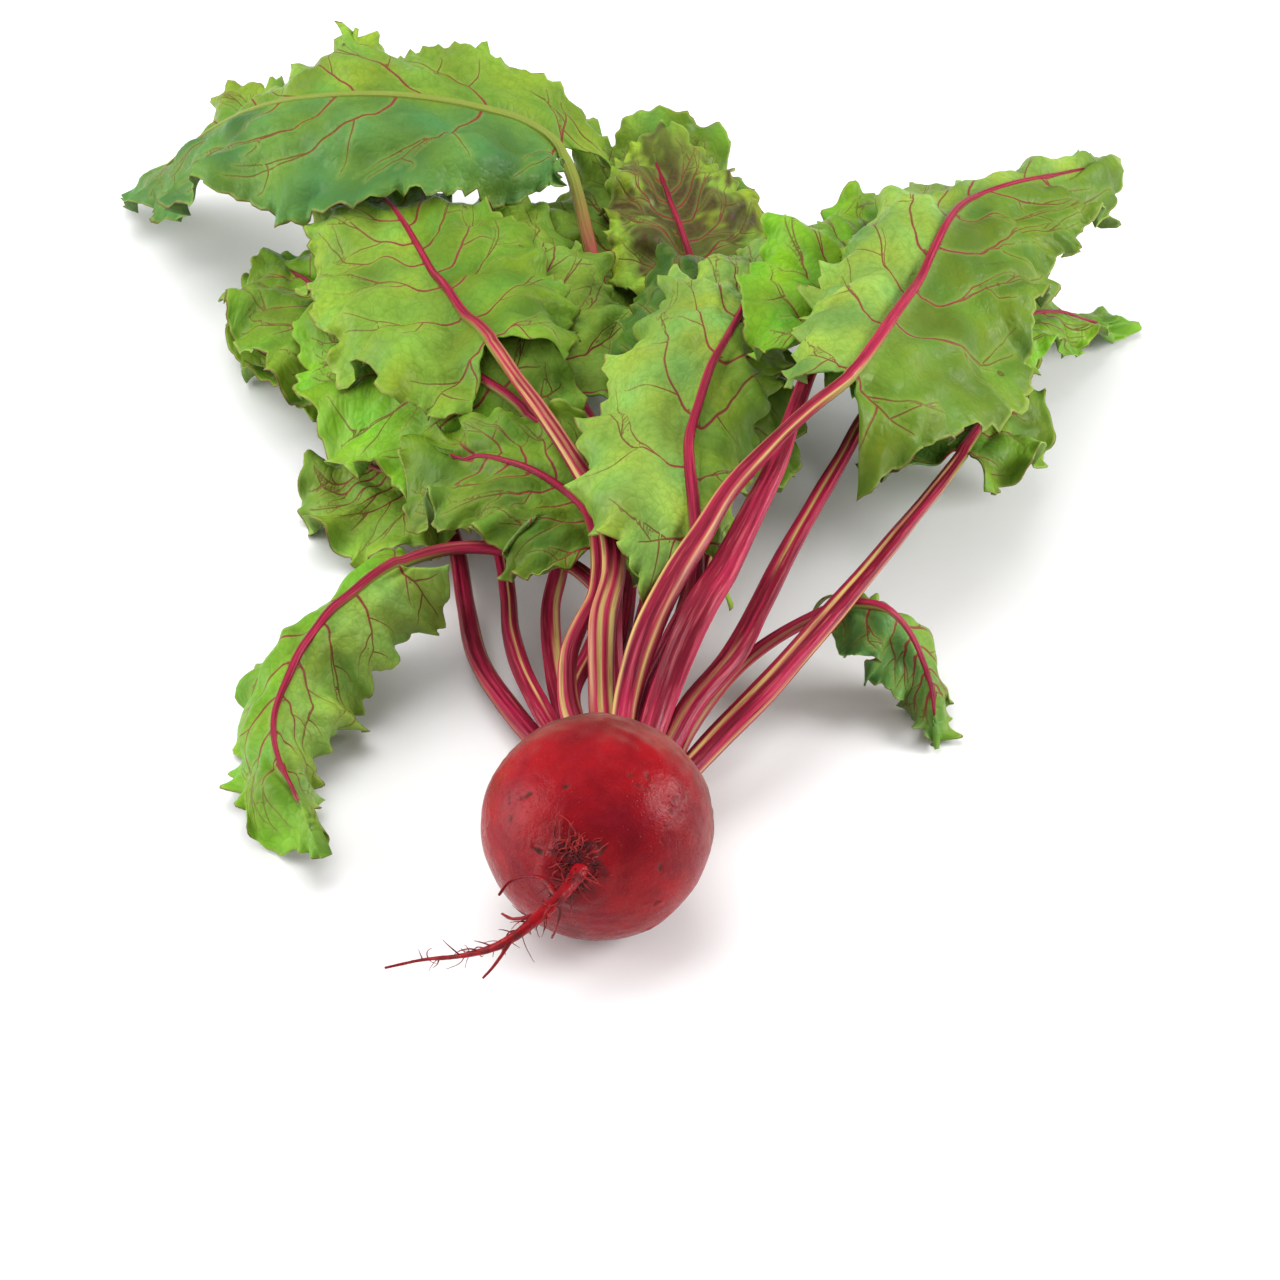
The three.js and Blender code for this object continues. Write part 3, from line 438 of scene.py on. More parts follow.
class Look:
    """A procedural material, its nodes added one at a time."""

    def __init__(self, name, **surface):
        self.material = bpy.data.materials.new(name)
        self.material.use_nodes = True
        self.tree = self.material.node_tree
        self.surface = self.tree.nodes["Principled BSDF"]
        self.base = None
        for socket, value in surface.items():
            self.surface.inputs[socket.replace("_", " ")].default_value = value

    def node(self, kind, inputs=(), **settings):
        made = self.tree.nodes.new("ShaderNode" + kind)
        for name, value in settings.items():
            setattr(made, name, value)
        for socket, value in dict(inputs).items():
            self.join(made.inputs[socket], value)
        return made.outputs

    def join(self, socket, value):
        if isinstance(value, bpy.types.NodeSocket):
            self.tree.links.new(value, socket)
        else:
            socket.default_value = value

    def result(self, operation, a, b):
        return self.node("Math", {0: a, 1: b}, operation=operation)[0]

    def times(self, a, b):
        return self.result("MULTIPLY", a, b)

    def plus(self, a, b):
        return self.result("ADD", a, b)

    def step(self, value, low, high, to_low=0.0, to_high=1.0):
        inputs = {"Value": value, "From Min": low, "From Max": high, "To Min": to_low, "To Max": to_high}
        return self.node("MapRange", inputs, interpolation_type="SMOOTHSTEP")["Result"]

    def blend(self, share, a, b):
        a, b = [(*value, 1) if isinstance(value, tuple) else value for value in (a, b)]
        return self.node("Mix", {"Factor": share, 6: a, 7: b}, data_type="RGBA")[2]

    def attribute(self, name, output="Vector"):
        return self.node("Attribute", attribute_name=name)[output]

    def split(self, vector):
        return self.node("SeparateXYZ", {0: vector})

    def noise(self, vector, scale, detail=3.0, roughness=0.55):
        inputs = {"Vector": vector, "Scale": scale, "Detail": detail, "Roughness": roughness}
        return self.node("TexNoise", inputs)["Fac"]

    def cells(self, vector, scale, feature="F1"):
        return self.node("TexVoronoi", {"Vector": vector, "Scale": scale}, feature=feature)["Distance"]

    def cells_on_sheet(self, vector, scale, feature="F1"):
        """Cells that are the same at every height of the vector."""
        flat = self.node("Mapping", {"Vector": vector, "Scale": (1, 1, 0)})[0]
        return self.cells(flat, scale, feature)

    def object_place(self):
        return self.node("TexCoord")["Object"]

    def bump(self, height, strength, distance):
        normal = self.node("Bump", {"Height": height, "Strength": strength, "Distance": distance})[0]
        self.join(self.surface.inputs["Normal"], normal)

    def layer(self, share, colour):
        """Lays a colour over those so far, as thick as its share."""
        self.base = self.blend(share, self.base, colour)

    def rough(self, value):
        self.join(self.surface.inputs["Roughness"], value)

    def finished(self):
        self.join(self.surface.inputs["Base Color"], self.base)
        return self.material


def line_mask(look, attribute, width, wide):
    """1 on the nearest vein of one kind and 0 off it, and how far that vein is, in mm."""
    parts = look.split(look.attribute(attribute))
    flat = look.node("CombineXYZ", {0: parts[0], 1: parts[1]})[0]
    near = look.node("VectorMath", {0: flat}, operation="LENGTH")["Value"]
    inner = look.times(width, 0.22 * wide)
    outer = look.plus(look.times(width, 0.62 * wide), 0.1)
    line = look.step(near, inner, outer, 1.0, 0.0)
    beside = look.step(parts[2], 1.0, 1.5, 1.0, 0.0)
    strong = look.step(width, 0.12, 0.5, 0.4, 1.0)
    return look.times(look.times(line, beside), strong), parts[2]


def vein_mask(look, wide):
    """1 on a vein, the distance to the nearest in mm, and how far out on the blade this is, 0 to 1."""
    main_width, out, fork_width = look.split(look.attribute("leaf"))[:3]
    main, main_distance = line_mask(look, "vein", main_width, wide)
    fork, fork_distance = line_mask(look, "fork", fork_width, wide)
    return look.result("MAXIMUM", main, fork), look.result("MINIMUM", main_distance, fork_distance), out


def blade_top():
    look = Look("blade_top", Roughness=0.42, IOR=1.4, Specular_IOR_Level=0.24)
    vein, distance, out = vein_mask(look, 1.0)
    flat = look.attribute("flat")
    look.base = look.attribute("tint", "Color")
    broad = look.noise(flat, 0.03, 2.0)
    fine = look.noise(flat, 0.3, 4.0)
    look.layer(look.step(broad, 0.42, 0.7, 0.0, 0.35), (0.19, 0.31, 0.03))
    look.layer(look.step(fine, 0.42, 0.75, 0.0, 0.3), (0.045, 0.125, 0.01))
    look.layer(look.step(distance, 0.3, 2.4, 0.26, 0.0), (0.25, 0.33, 0.06))
    net = look.cells_on_sheet(flat, 0.3, "DISTANCE_TO_EDGE")
    look.layer(look.step(net, 0.0, 0.09, 0.24, 0.0), (0.07, 0.14, 0.01))
    freckle = look.cells_on_sheet(flat, 0.03)
    within = look.step(freckle, 0.014, 0.024)
    ring = look.times(within, look.step(freckle, 0.032, 0.046, 0.75, 0.0))
    look.layer(ring, (0.075, 0.035, 0.012))
    ruddy = look.blend(look.step(out, 0.1, 0.75), (0.20, 0.018, 0.026), (0.13, 0.065, 0.018))
    look.layer(look.times(vein, 0.95), ruddy)
    rim = look.step(out, 0.962, 1.0)
    look.layer(look.times(rim, 0.45), (0.36, 0.44, 0.09))
    edge = look.step(out, 0.98, 1.0)
    scorch = look.times(edge, look.step(look.noise(flat, 0.05, 3.0), 0.44, 0.54))
    look.layer(look.times(scorch, 0.8), (0.14, 0.05, 0.02))
    look.rough(look.step(fine, 0.3, 0.7, 0.36, 0.52))
    height = look.plus(look.times(vein, -0.6), look.step(net, 0.0, 0.3, 0.0, 0.3))
    look.bump(look.plus(height, look.times(fine, 0.5)), 0.7, 0.0006)
    return look.finished()


def blade_under():
    look = Look("blade_under", Roughness=0.55, IOR=1.4, Specular_IOR_Level=0.22)
    vein, distance, _ = vein_mask(look, 1.6)
    flat = look.attribute("flat")
    look.base = look.blend(0.5, look.attribute("tint", "Color"), (0.16, 0.245, 0.07))
    fine = look.noise(flat, 0.4, 4.0)
    look.layer(look.step(fine, 0.35, 0.75, 0.0, 0.35), (0.08, 0.155, 0.032))
    net = look.cells_on_sheet(flat, 0.3, "DISTANCE_TO_EDGE")
    look.layer(look.step(net, 0.0, 0.12, 0.3, 0.0), (0.20, 0.28, 0.09))
    look.layer(look.step(distance, 0.4, 2.5, 0.3, 0.0), (0.26, 0.30, 0.12))
    look.layer(look.times(vein, 0.85), (0.28, 0.07, 0.06))
    look.rough(look.step(fine, 0.3, 0.7, 0.48, 0.62))
    height = look.plus(look.times(vein, 1.0), look.step(net, 0.0, 0.2, 0.4, 0.0))
    look.bump(height, 0.6, 0.0006)
    return look.finished()


def stalk_look():
    look = Look("stalk", Roughness=0.34, IOR=1.42, Specular_IOR_Level=0.28)
    pale, dark, green = look.split(look.attribute("stripe"))[:3]
    grain = look.attribute("grain")
    strand = look.noise(grain, 1.5, 4.0, 0.55)
    tone = look.noise(grain, 0.4, 2.0)
    look.base = look.blend(look.step(tone, 0.38, 0.62), (0.17, 0.006, 0.020), (0.36, 0.012, 0.052))
    look.layer(look.step(strand, 0.54, 0.7, 0.0, 0.55), (0.47, 0.085, 0.10))
    look.layer(look.step(strand, 0.46, 0.3, 0.0, 0.75), (0.085, 0.004, 0.012))
    streak = look.times(pale, look.step(strand, 0.3, 0.48, 0.5, 1.0))
    cream = look.blend(look.step(tone, 0.4, 0.6), (0.46, 0.17, 0.10), (0.52, 0.42, 0.13))
    look.layer(streak, cream)
    # Brown-purple: the stalk's own brown in patches, with painted shade where it lies thicker on the
    # underside.
    look.layer(dark, (0.055, 0.010, 0.016))
    look.layer(green, (0.20, 0.28, 0.04))
    look.rough(look.step(strand, 0.3, 0.7, 0.28, 0.44))
    look.bump(strand, 0.5, 0.0006)
    return look.finished()


def skin_look():
    look = Look("skin", Roughness=0.35, IOR=1.45, Specular_IOR_Level=0.16)
    shoulder, scar, dirt = look.split(look.attribute("skin"))[:3]
    place = look.object_place()
    broad = look.noise(place, 30.0, 3.0, 0.6)
    cloud = look.noise(place, 55.0, 4.0, 0.6)
    mottle = look.noise(place, 170.0, 5.0, 0.65)
    grit = look.noise(place, 900.0, 4.0, 0.7)
    look.base = look.blend(look.step(broad, 0.35, 0.65), (0.14, 0.0022, 0.006), (0.29, 0.003, 0.007))
    look.layer(look.step(cloud, 0.48, 0.68, 0.0, 0.6), (0.17, 0.004, 0.013))
    look.layer(look.step(mottle, 0.5, 0.7, 0.0, 0.35), (0.26, 0.007, 0.013))
    look.layer(look.step(grit, 0.62, 0.75, 0.0, 0.3), (0.11, 0.006, 0.010))
    # Grey-brown on the crown's shoulder: partly worn, corky skin and partly painted sheen, the pale haze
    # along the top rim.
    worn_and_sheen = look.blend(look.step(cloud, 0.4, 0.62), (0.25, 0.095, 0.08), (0.12, 0.05, 0.038))
    look.layer(look.times(shoulder, look.step(mottle, 0.3, 0.6, 0.65, 1.0)), worn_and_sheen)
    specks = look.cells(place, 110.0)
    look.layer(look.step(specks, 0.03, 0.07, 0.6, 0.0), (0.08, 0.014, 0.012))
    look.layer(scar, (0.035, 0.012, 0.009))
    look.layer(dirt, (0.065, 0.009, 0.011))
    gloss = look.step(mottle, 0.35, 0.7, 0.22, 0.36)
    matt = look.result("MAXIMUM", shoulder, look.result("MAXIMUM", scar, dirt))
    look.rough(look.plus(gloss, look.times(matt, 0.28)))
    pores = look.cells(place, 420.0)
    height = look.plus(look.times(mottle, 0.8), look.times(grit, 0.2))
    height = look.plus(height, look.step(pores, 0.05, 0.2, 0.0, 0.2))
    look.bump(height, 0.65, 0.001)
    return look.finished()


def hair_look():
    look = Look("root_hair", Roughness=0.5, IOR=1.4, Specular_IOR_Level=0.25)
    place = look.object_place()
    tone = look.noise(place, 160.0, 3.0)
    look.base = look.blend(look.step(tone, 0.4, 0.62), (0.075, 0.008, 0.012), (0.30, 0.022, 0.022))
    look.rough(look.step(tone, 0.3, 0.7, 0.4, 0.6))
    look.bump(look.noise(place, 1500.0, 3.0), 0.4, 0.0003)
    return look.finished()


def floor_look():
    look = Look("floor", Roughness=0.55)
    place = look.object_place()
    tone = look.noise(place, 3.0, 2.0)
    look.base = look.blend(tone, (0.86, 0.86, 0.86), (0.88, 0.88, 0.88))
    return look.finished()


# ---------------------------------------------------------------- making a piece


def under_lid(height):
    """Heights eased down so that they stay a little under the top of the part's box."""
    lid = BOX_HIGH[2] - LID_GAP
    return lid - LID_EASE * np.logaddexp(0, (lid - height) / LID_EASE - 1)


def link(thing):
    bpy.context.scene.collection.objects.link(thing)
    return thing


def make_piece(name, points, faces, materials, replaced, attributes, second_from=None):
    """A mesh in the CAD's frame. Faces from number `second_from` on have the second material."""
    points = np.clip(points, BOX_LOW + BOX_GAP, BOX_HIGH - BOX_GAP)
    mesh = bpy.data.meshes.new(name)
    mesh.from_pydata((points * MM).tolist(), [], faces)
    for attribute, values in attributes.items():
        coloured = attribute == "tint"
        layer = mesh.attributes.new(attribute, "FLOAT_COLOR" if coloured else "FLOAT_VECTOR", "POINT")
        if coloured:
            values = np.hstack([values, np.ones((len(values), 1))])
        layer.data.foreach_set("color" if coloured else "vector", values.astype(np.float32).ravel())
    for material in materials:
        mesh.materials.append(material)
    if second_from is not None:
        numbers = np.zeros(len(mesh.polygons), np.int32)
        numbers[second_from:] = 1
        mesh.polygons.foreach_set("material_index", numbers)
    mesh.shade_smooth()
    mesh.update()
    piece = link(bpy.data.objects.new(name, mesh))
    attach(piece, "root")
    if replaced:
        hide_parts(*replaced)


def tube_faces(rings, sides):
    """Quads round a tube of rings, with its two ends left open."""
    ring, side = np.meshgrid(np.arange(rings - 1), np.arange(sides), indexing="ij")
    a = ring * sides + side
    b = ring * sides + (side + 1) % sides
    return np.stack([a, a + sides, b + sides, b], -1).reshape(-1, 4).tolist()


# ---------------------------------------------------------------- where the leaf lies


def slot_place(slot):
    column, row = slot
    return (ROOT_CENTRE + CROWN_AXIS * CROWN_HEIGHT + ACROSS * column * SLOT_SPACING
            + UPRIGHT * row * SLOT_SPACING * math.sin(math.pi / 3))


def leaf_route(leaf):
    foot = slot_place(leaf["slot"])
    start = [foot + CROWN_AXIS * depth for depth in STRAIGHT_START]
    route = Route(start + leaf["stalk"] + leaf["rib"])
    route.blade_start = route.knots[len(start) + len(leaf["stalk"])]
    return route


def midrib_radius(station):
    return mix(MIDRIB_RADIUS, MIDRIB_TIP_RADIUS, np.clip(station / LAST_RIB_STATION, 0, 1)**0.8)


def slit_half(station):
    """Half the width of the slit that the midrib lies in, which ends with the midrib."""
    return np.where(station <= LAST_RIB_STATION, midrib_radius(station) + SLIT_GAP, 0)


def half_width(leaf, side, share):
    return (leaf["left"] if side < 0 else leaf["right"]) * along(VEIN_LENGTH, share)


def stalk_radius(leaf, route, distance):
    foot = mix(leaf["radius"], leaf["body"], smooth_step(BODY_START, BODY_FULL, distance))
    return mix(foot, MIDRIB_RADIUS, smooth_step(0.1, 1, distance / route.blade_start))


def notch(leaf, side, share):
    return (0.07 * np.sin(47 * share + 2 * leaf["turn"] + side)
            + 0.05 * np.sin(29 * share + leaf["turn"] * side))


def ruffle(leaf, side, share):
    return (np.sin(21 * share + 3 * leaf["turn"] + 1.7 * side)
            + 0.5 * np.sin(37 * share + 5 * leaf["turn"] - side))


def blade_point(leaf, route, station, side, out):
    """One point of the part's blade before it is laid down."""
    share = station / BLADE_STATIONS
    distance = mix(route.blade_start, route.length, share)
    forward, right, up = route.frame_at(distance)
    which = 0 if side < 0 else 1
    lean = math.radians(along(VEIN_LEAN, share))
    length = half_width(leaf, side, share) * (1 + notch(leaf, side, share))
    point = route.point_at(distance) + right * side * slit_half(station)
    for step in range(CURL_STEPS):
        bent = leaf["curl"][which] * (step + 0.5) / CURL_STEPS * out * 2
        rise = math.radians(leaf["fold"][which] + bent)
        outward = right * side * math.cos(rise) + up * math.sin(rise)
        point = point + (forward * math.sin(lean) + outward * math.cos(lean)) * length * out / CURL_STEPS
    wave = leaf["wave"] * out**2 * ruffle(leaf, side, share) * smooth_step(1, 0.8, share)
    return point + up * wave


def laid_blade(leaf, route):
    """The part's blade as it lies, 13 stations by 5 for each side, from its CAD solid.

    Laying only raises a point, so each is known by where it is seen from above. The solid has
    a point half the thickness above and below each.
    """
    solid = node_points(leaf["name"] + "_blade")
    apart = np.linalg.norm(solid[:, None] - solid[None], axis=2)
    first, second = np.nonzero(np.triu(np.abs(apart - BLADE_THICKNESS) < SAME_THICKNESS))
    middles = (solid[first] + solid[second]) / 2
    grid = np.zeros((2, BLADE_STATIONS + 1, BLADE_CELLS + 1, 3))
    lifts = np.full(grid.shape[:3], np.nan)
    for which, side in enumerate((-1, 1)):
        for station in range(BLADE_STATIONS + 1):
            for cell in range(BLADE_CELLS + 1):
                shared = station == BLADE_STATIONS
                point = blade_point(leaf, route, station, -1 if shared else side, cell / BLADE_CELLS)
                grid[which, station, cell] = point
                miss = np.linalg.norm(middles[:, :2] - point[:2], axis=1)
                if miss.min() < SAME_PLACE:
                    lifts[which, station, cell] = middles[miss.argmin(), 2] - point[2]
    found = np.isfinite(lifts)
    places = np.argwhere(found)
    for place in np.argwhere(~found):
        apart = (places - place) * (OTHER_HALF, 1, 1)
        nearest = np.argsort(np.linalg.norm(apart, axis=1))[:4]
        lifts[tuple(place)] = np.mean([lifts[tuple(places[number])] for number in nearest])
    grid[..., 2] += lifts
    return grid


def laid_stalk(leaf, route):
    """The middles of the part's stalk rings as they lie, their radii and distances."""
    solid = node_points(leaf["name"] + "_stalk")
    up_stalk = [mix(SOCKET_DEPTH + 4, route.blade_start, step / (STALK_STATIONS - 1))
                for step in range(STALK_STATIONS - 1)]
    distances = [0, *up_stalk]
    radii = [stalk_radius(leaf, route, distance) for distance in distances]
    for station in range(LAST_RIB_STATION + 1):
        distances.append(mix(route.blade_start, route.length, station / BLADE_STATIONS))
        radii.append(midrib_radius(station))
    middles = []
    for distance, radius in zip(distances, radii):
        middle = route.point_at(distance)
        right = route.frame_at(distance)[1]
        lifts = []
        for side in (-1, 1):
            corner = middle + right * side * radius
            miss = np.linalg.norm(solid[:, :2] - corner[:2], axis=1)
            if miss.min() < SAME_PLACE:
                lifts.append(solid[miss.argmin(), 2] - corner[2])
        middles.append(middle + UP * (np.mean(lifts) if lifts else 0))
    return np.array(middles), np.array(radii), np.array(distances)


# ---------------------------------------------------------------- veins


def flat_place(leaf, length, side, share, out):
    """Where a point of the blade is once the leaf is pressed flat, in mm."""
    lean = np.radians(along(VEIN_LEAN, share))
    reach = half_width(leaf, side, share)
    x = share * length + np.sin(lean) * reach * out
    y = side * (slit_half(share * BLADE_STATIONS) + np.cos(lean) * reach * out)
    return np.stack([x, y], -1)


def vein_network(leaf, length, rng):
    """The main veins of the pressed leaf and their forks: points along each kind, and widths there."""
    spine = np.linspace(0, 0.97, 400)
    mains = [(np.stack([spine * length, 0 * spine], -1), mix(2.0, 0.5, spine))]
    forks = []
    sways = [drift_field(2, wavelength, rng) for wavelength in (34, 34, 9, 9)]

    def vein(side, shares, outs, width):
        line = flat_place(leaf, length, side, shares, outs)
        line[:, 1] *= smooth_step(-0.02, 0.07, outs)
        grown = np.clip(outs * 5, 0, 1)[:, None]
        long_way = np.stack([sways[0](line), sways[1](line)], -1)
        short_way = np.stack([sways[2](line), sways[3](line)], -1)
        return line + (1.1 * long_way + 0.22 * short_way) * grown, width

    steps = np.linspace(0, 1, VEIN_STEPS)
    for side in (-1, 1):
        share = 0.01
        while share < 0.86:
            gap = rng.uniform(0.12, 0.17) * mix(1, 0.75, share)
            strong = mix(1.0, 0.6, share) * rng.uniform(0.85, 1.1)
            end = rng.uniform(0.8, 0.93)
            sweep = mix(0.07, 0.24, smooth_step(0, 0.3, share)) * smooth_step(0.95, 0.45, share)
            shares = share + sweep * rng.uniform(0.8, 1.2) * steps**1.15
            outs = steps * end
            mains.append(vein(side, shares, outs, mix(1.55, 0.34, steps**0.5) * strong))
            way = rng.choice((-1, 1))
            fork = rng.uniform(0.2, 0.35)
            while fork < 0.8:
                start = int(fork * VEIN_STEPS)
                count = int(rng.uniform(0.3, 0.5) * VEIN_STEPS)
                turn = steps[:count] / steps[count - 1]
                apart = way * gap * rng.uniform(0.34, 0.5) * (1 - (1 - turn)**1.4)
                tips = shares[start] + apart + sweep * 0.25 * turn
                ends = outs[start] + (0.93 - outs[start]) * rng.uniform(0.45, 0.85) * turn
                forks.append(vein(side, tips, ends, mix(0.6, 0.24, turn) * strong))
                way = -way
                fork += rng.uniform(0.13, 0.24)
            share += gap
    return [[np.concatenate(column) for column in zip(*kind)] for kind in (mains, forks)]


# ---------------------------------------------------------------- one blade


def rounded_margin(coarse):
    """The part's cells of half a blade with the corners of their outline taken off."""
    around = (coarse[:-2] + coarse[2:]) / 2
    softer = coarse.copy()
    softer[1:-1] = mix(coarse[1:-1], around, ROUNDING * np.linspace(0, 1, BLADE_CELLS + 1)[:, None]**2)
    return softer


def margin_growth(leaf, length, side, shares, outs, rng):
    """How far each vein is drawn out into lobes and teeth, and the way along the margin."""
    arc = lengths_along(flat_place(leaf, length, side, shares, np.ones_like(shares)))
    lobes = 0.04 * drift_along(arc, 30, rng) + 0.026 * drift_along(arc, 11, rng)
    teeth = 0.022 * np.sin(math.pi * arc / TOOTH_LENGTH + 1.4 * drift_along(arc, 16, rng))**2
    near_tip = smooth_step(1, 0.93, shares)
    return 1 + (lobes + teeth)[:, None] * near_tip[:, None] * outs[None]**3, arc


def blade_side(leaf, route, coarse, middles, which, rng):
    """The fine surface of half a blade, from the rib out, with what the looks need at each point."""
    side = (-1, 1)[which]
    length = route.length - route.blade_start
    stations = np.linspace(0, BLADE_STATIONS, BLADE_STATIONS * ROWS_PER_STATION + 1)
    shares = stations / BLADE_STATIONS
    outs = np.linspace(0, 1, BLADE_CELLS * COLUMNS_PER_CELL + 1)
    rows = resample(BLADE_STATIONS + 1, stations)
    grow, arc = margin_growth(leaf, length, side, shares, outs, rng)

    fine = np.einsum("rs,scx->rcx", rows, rounded_margin(coarse))
    columns = [resample(BLADE_CELLS + 1, outs * wider * BLADE_CELLS) for wider in grow]
    surface = np.stack([column @ row for column, row in zip(columns, fine)])

    centre = rows @ middles
    strip = [mix(centre, surface[:, 0], step / RIB_COLUMNS) for step in range(RIB_COLUMNS)]
    surface = np.concatenate([np.stack(strip, 1), surface], 1)
    outs = np.concatenate([np.zeros(RIB_COLUMNS), outs])
    grow = np.concatenate([np.ones((len(shares), RIB_COLUMNS)), grow], 1)
    share_grid, out_grid = np.meshgrid(shares, outs, indexing="ij")
    flat = flat_place(leaf, length, side, share_grid, out_grid * grow)
    for step in range(RIB_COLUMNS):
        flat[:, step, 1] *= step / RIB_COLUMNS
    return surface, flat, share_grid, out_grid, arc


def to_nearest(veins, flat):
    """The way from each point of the pressed leaf to the nearest vein, how far that is, and its width."""
    places, widths = veins
    tree = KDTree(len(places))
    for index, (x, y) in enumerate(places):
        tree.insert((x, y, 0), index)
    tree.balance()
    points = flat.reshape(-1, 2)
    found = [tree.find((x, y, 0)) for x, y in points]
    nearest = np.array([hit[1] for hit in found])
    distance = np.array([hit[2] for hit in found]).reshape(flat.shape[:2])
    return (places[nearest] - points).reshape(flat.shape), distance, widths[nearest].reshape(flat.shape[:2])


def surface_normals(surface):
    across = np.gradient(surface, axis=1)
    ahead = np.gradient(surface, axis=0)
    normals = np.cross(across, ahead)
    size = np.linalg.norm(normals, axis=2, keepdims=True)
    return np.where(size > 1e-9, normals / np.maximum(size, 1e-9), UP)


class Pile:
    """How high the leaves laid so far reach, over small squares of the floor."""

    def __init__(self):
        across = (BOX_HIGH - BOX_LOW)[:2] / PILE_SQUARE
        self.top = np.full(np.ceil(across).astype(int) + 1, -np.inf)

    def squares(self, points):
        numbers = ((points[..., :2] - BOX_LOW[:2]) / PILE_SQUARE).astype(int)
        return tuple(np.clip(numbers[..., axis], 0, self.top.shape[axis] - 1) for axis in (0, 1))

    def add(self, points):
        np.maximum.at(self.top, self.squares(points), points[..., 2])

    def rise(self, surface):
        """How much to raise each point of a leaf that has just sunk into the pile."""
        short = self.top[self.squares(surface)] + PILE_GAP - surface[..., 2]
        return widened(np.where((short > 0) & (short < PILE_REACH), short, 0))


def widened(values):
    """Numbers on a grid, spread to their neighbours and then evened out."""
    rows, columns = values.shape
    for gather_up in (np.max, np.max, np.mean, np.mean, np.mean):
        padded = np.pad(values, 1, mode="edge")
        near = [padded[a:a + rows, b:b + columns] for a in range(3) for b in range(3)]
        values = gather_up(near, axis=0)
    return values


def blade_relief(flat, share, out, arcs, from_main, from_fork, rng):
    """How far the blade stands off its coarse surface: puckers, slow rolls, and a crimped margin."""
    near_tip = smooth_step(1, 0.94, share)
    puff = 1.9 * (1 - np.exp(-(from_main / 7)**2)) * (0.8 + 0.4 * drift(flat, 18, rng))
    puff += 0.45 * (1 - np.exp(-(np.minimum(from_main, from_fork) / 2.2)**2))
    roll = (2.1 * drift(flat, 34, rng) + 0.6 * drift(flat, 12, rng)) * smooth_step(0, 0.35, out)
    roll -= 1.7 * np.exp(-((out - 0.13) / 0.08)**2) * smooth_step(-0.6, 0.6, drift(flat, 50, rng))
    frill = 2.4 * drift_along(arcs, 19, rng) * out**4 + 1.6 * drift_along(arcs, 8, rng) * out**9
    frill += 0.6 * drift_along(arcs, 7, rng) * out**14
    return puff * smooth_step(0, 0.12, out) + (roll + frill) * near_tip


def blade_colour(leaf, flat, out, rng):
    left, right = [np.array(tint) for tint in leaf["tints"]]
    colour = mix(left, right, smooth_step(-7, 7, flat[..., 1])[..., None])
    colour = colour * (1 + 0.2 * drift(flat, 40, rng))[..., None]
    colour = colour * (1 + 0.12 * drift(flat, 25, rng)[..., None] * np.array([1.0, 0.0, -1.5]))
    pale = smooth_step(0.55, 1.0, out + 0.25 * drift(flat, 30, rng))[..., None]
    colour = mix(colour, colour * np.array([1.2, 1.2, 1.1]), pale)
    ragged = out + 0.28 * drift(flat, 22, rng) + 0.16 * drift(flat, 7, rng)
    red = leaf.get("red", 0) * smooth_step(1.05, 0.45, ragged)
    return mix(colour, np.array(DARK_RED), 0.93 * red[..., None])


def blade_faces(rows, columns):
    """The top, the rim and the underside of a sheet, and how many faces the first two have."""
    count = rows * columns
    middle = columns // 2
    numbers = np.arange(count).reshape(rows, columns)
    numbers[-1, :middle] = numbers[-1, :middle:-1]
    quads = np.stack([numbers[:-1, :-1], numbers[:-1, 1:], numbers[1:, 1:], numbers[1:, :-1]], -1)
    quads = quads.reshape(-1, 4)
    rim = np.concatenate([numbers[0], numbers[1:, -1], numbers[-2:0:-1, 0]])
    after = np.roll(rim, -1)
    sides = np.stack([rim, rim + count, after + count, after], -1)
    faces = quads.tolist() + sides.tolist() + (quads[:, ::-1] + count).tolist()
    return faces, len(quads) + len(sides)


def build_blade(leaf, route, coarse, middles, looks, number, pile):
    """One blade with its thickness; gives back how high it lies all along its rib."""
    rng = np.random.default_rng(SEED + number)
    ribs = np.vstack([middles[STALK_STATIONS:], coarse[0, LAST_RIB_STATION + 1:, 0]])
    ribs[:, 2] -= RIB_SINK
    halves = [blade_side(leaf, route, coarse[which], ribs, which, rng) for which in (0, 1)]
    mains, forks = vein_network(leaf, route.length - route.blade_start, rng)

    pairs = zip(*[half[:4] for half in halves])
    surface, flat, share, out = [np.concatenate([left[:, :0:-1], right], 1) for left, right in pairs]
    surface[-1] = (surface[-1] + surface[-1, ::-1]) / 2
    rows, columns = share.shape
    middle = columns // 2
    arcs = np.concatenate([np.repeat(-halves[0][4][:, None], middle, 1),
                           np.repeat(halves[1][4][:, None], columns - middle, 1)], 1)

    main_way, from_main, main_width = to_nearest(mains, flat)
    fork_way, from_fork, fork_width = to_nearest(forks, flat)
    relief = blade_relief(flat, share, out, arcs, from_main, from_fork, rng)
    surface = surface + surface_normals(surface) * relief[..., None]
    surface[..., 2] = under_lid(surface[..., 2] + pile.rise(surface))
    pile.add(surface)

    thick = surface_normals(surface) * mix(SHEET_HALF, EDGE_HALF, out**4)[..., None]
    points = np.vstack([(surface + thick).reshape(-1, 3), (surface - thick).reshape(-1, 3)])
    faces, second = blade_faces(rows, columns)
    apart = np.full((rows, columns, 1), 300.0 * number)
    fields = {
        "vein": np.concatenate([main_way, from_main[..., None]], -1),
        "fork": np.concatenate([fork_way, from_fork[..., None]], -1),
        "leaf": np.stack([main_width, out, fork_width], -1),
        "flat": np.concatenate([flat, apart], -1),
        "tint": blade_colour(leaf, flat, out, rng),
    }
    attributes = {name: np.tile(values.reshape(-1, 3), (2, 1)) for name, values in fields.items()}
    points, faces, attributes = drop_unused(points, faces, attributes)
    name = leaf["name"] + "_blade"
    make_piece("visual_" + name, points, faces, looks, [name], attributes, second)
    return surface[:, middle, 2]


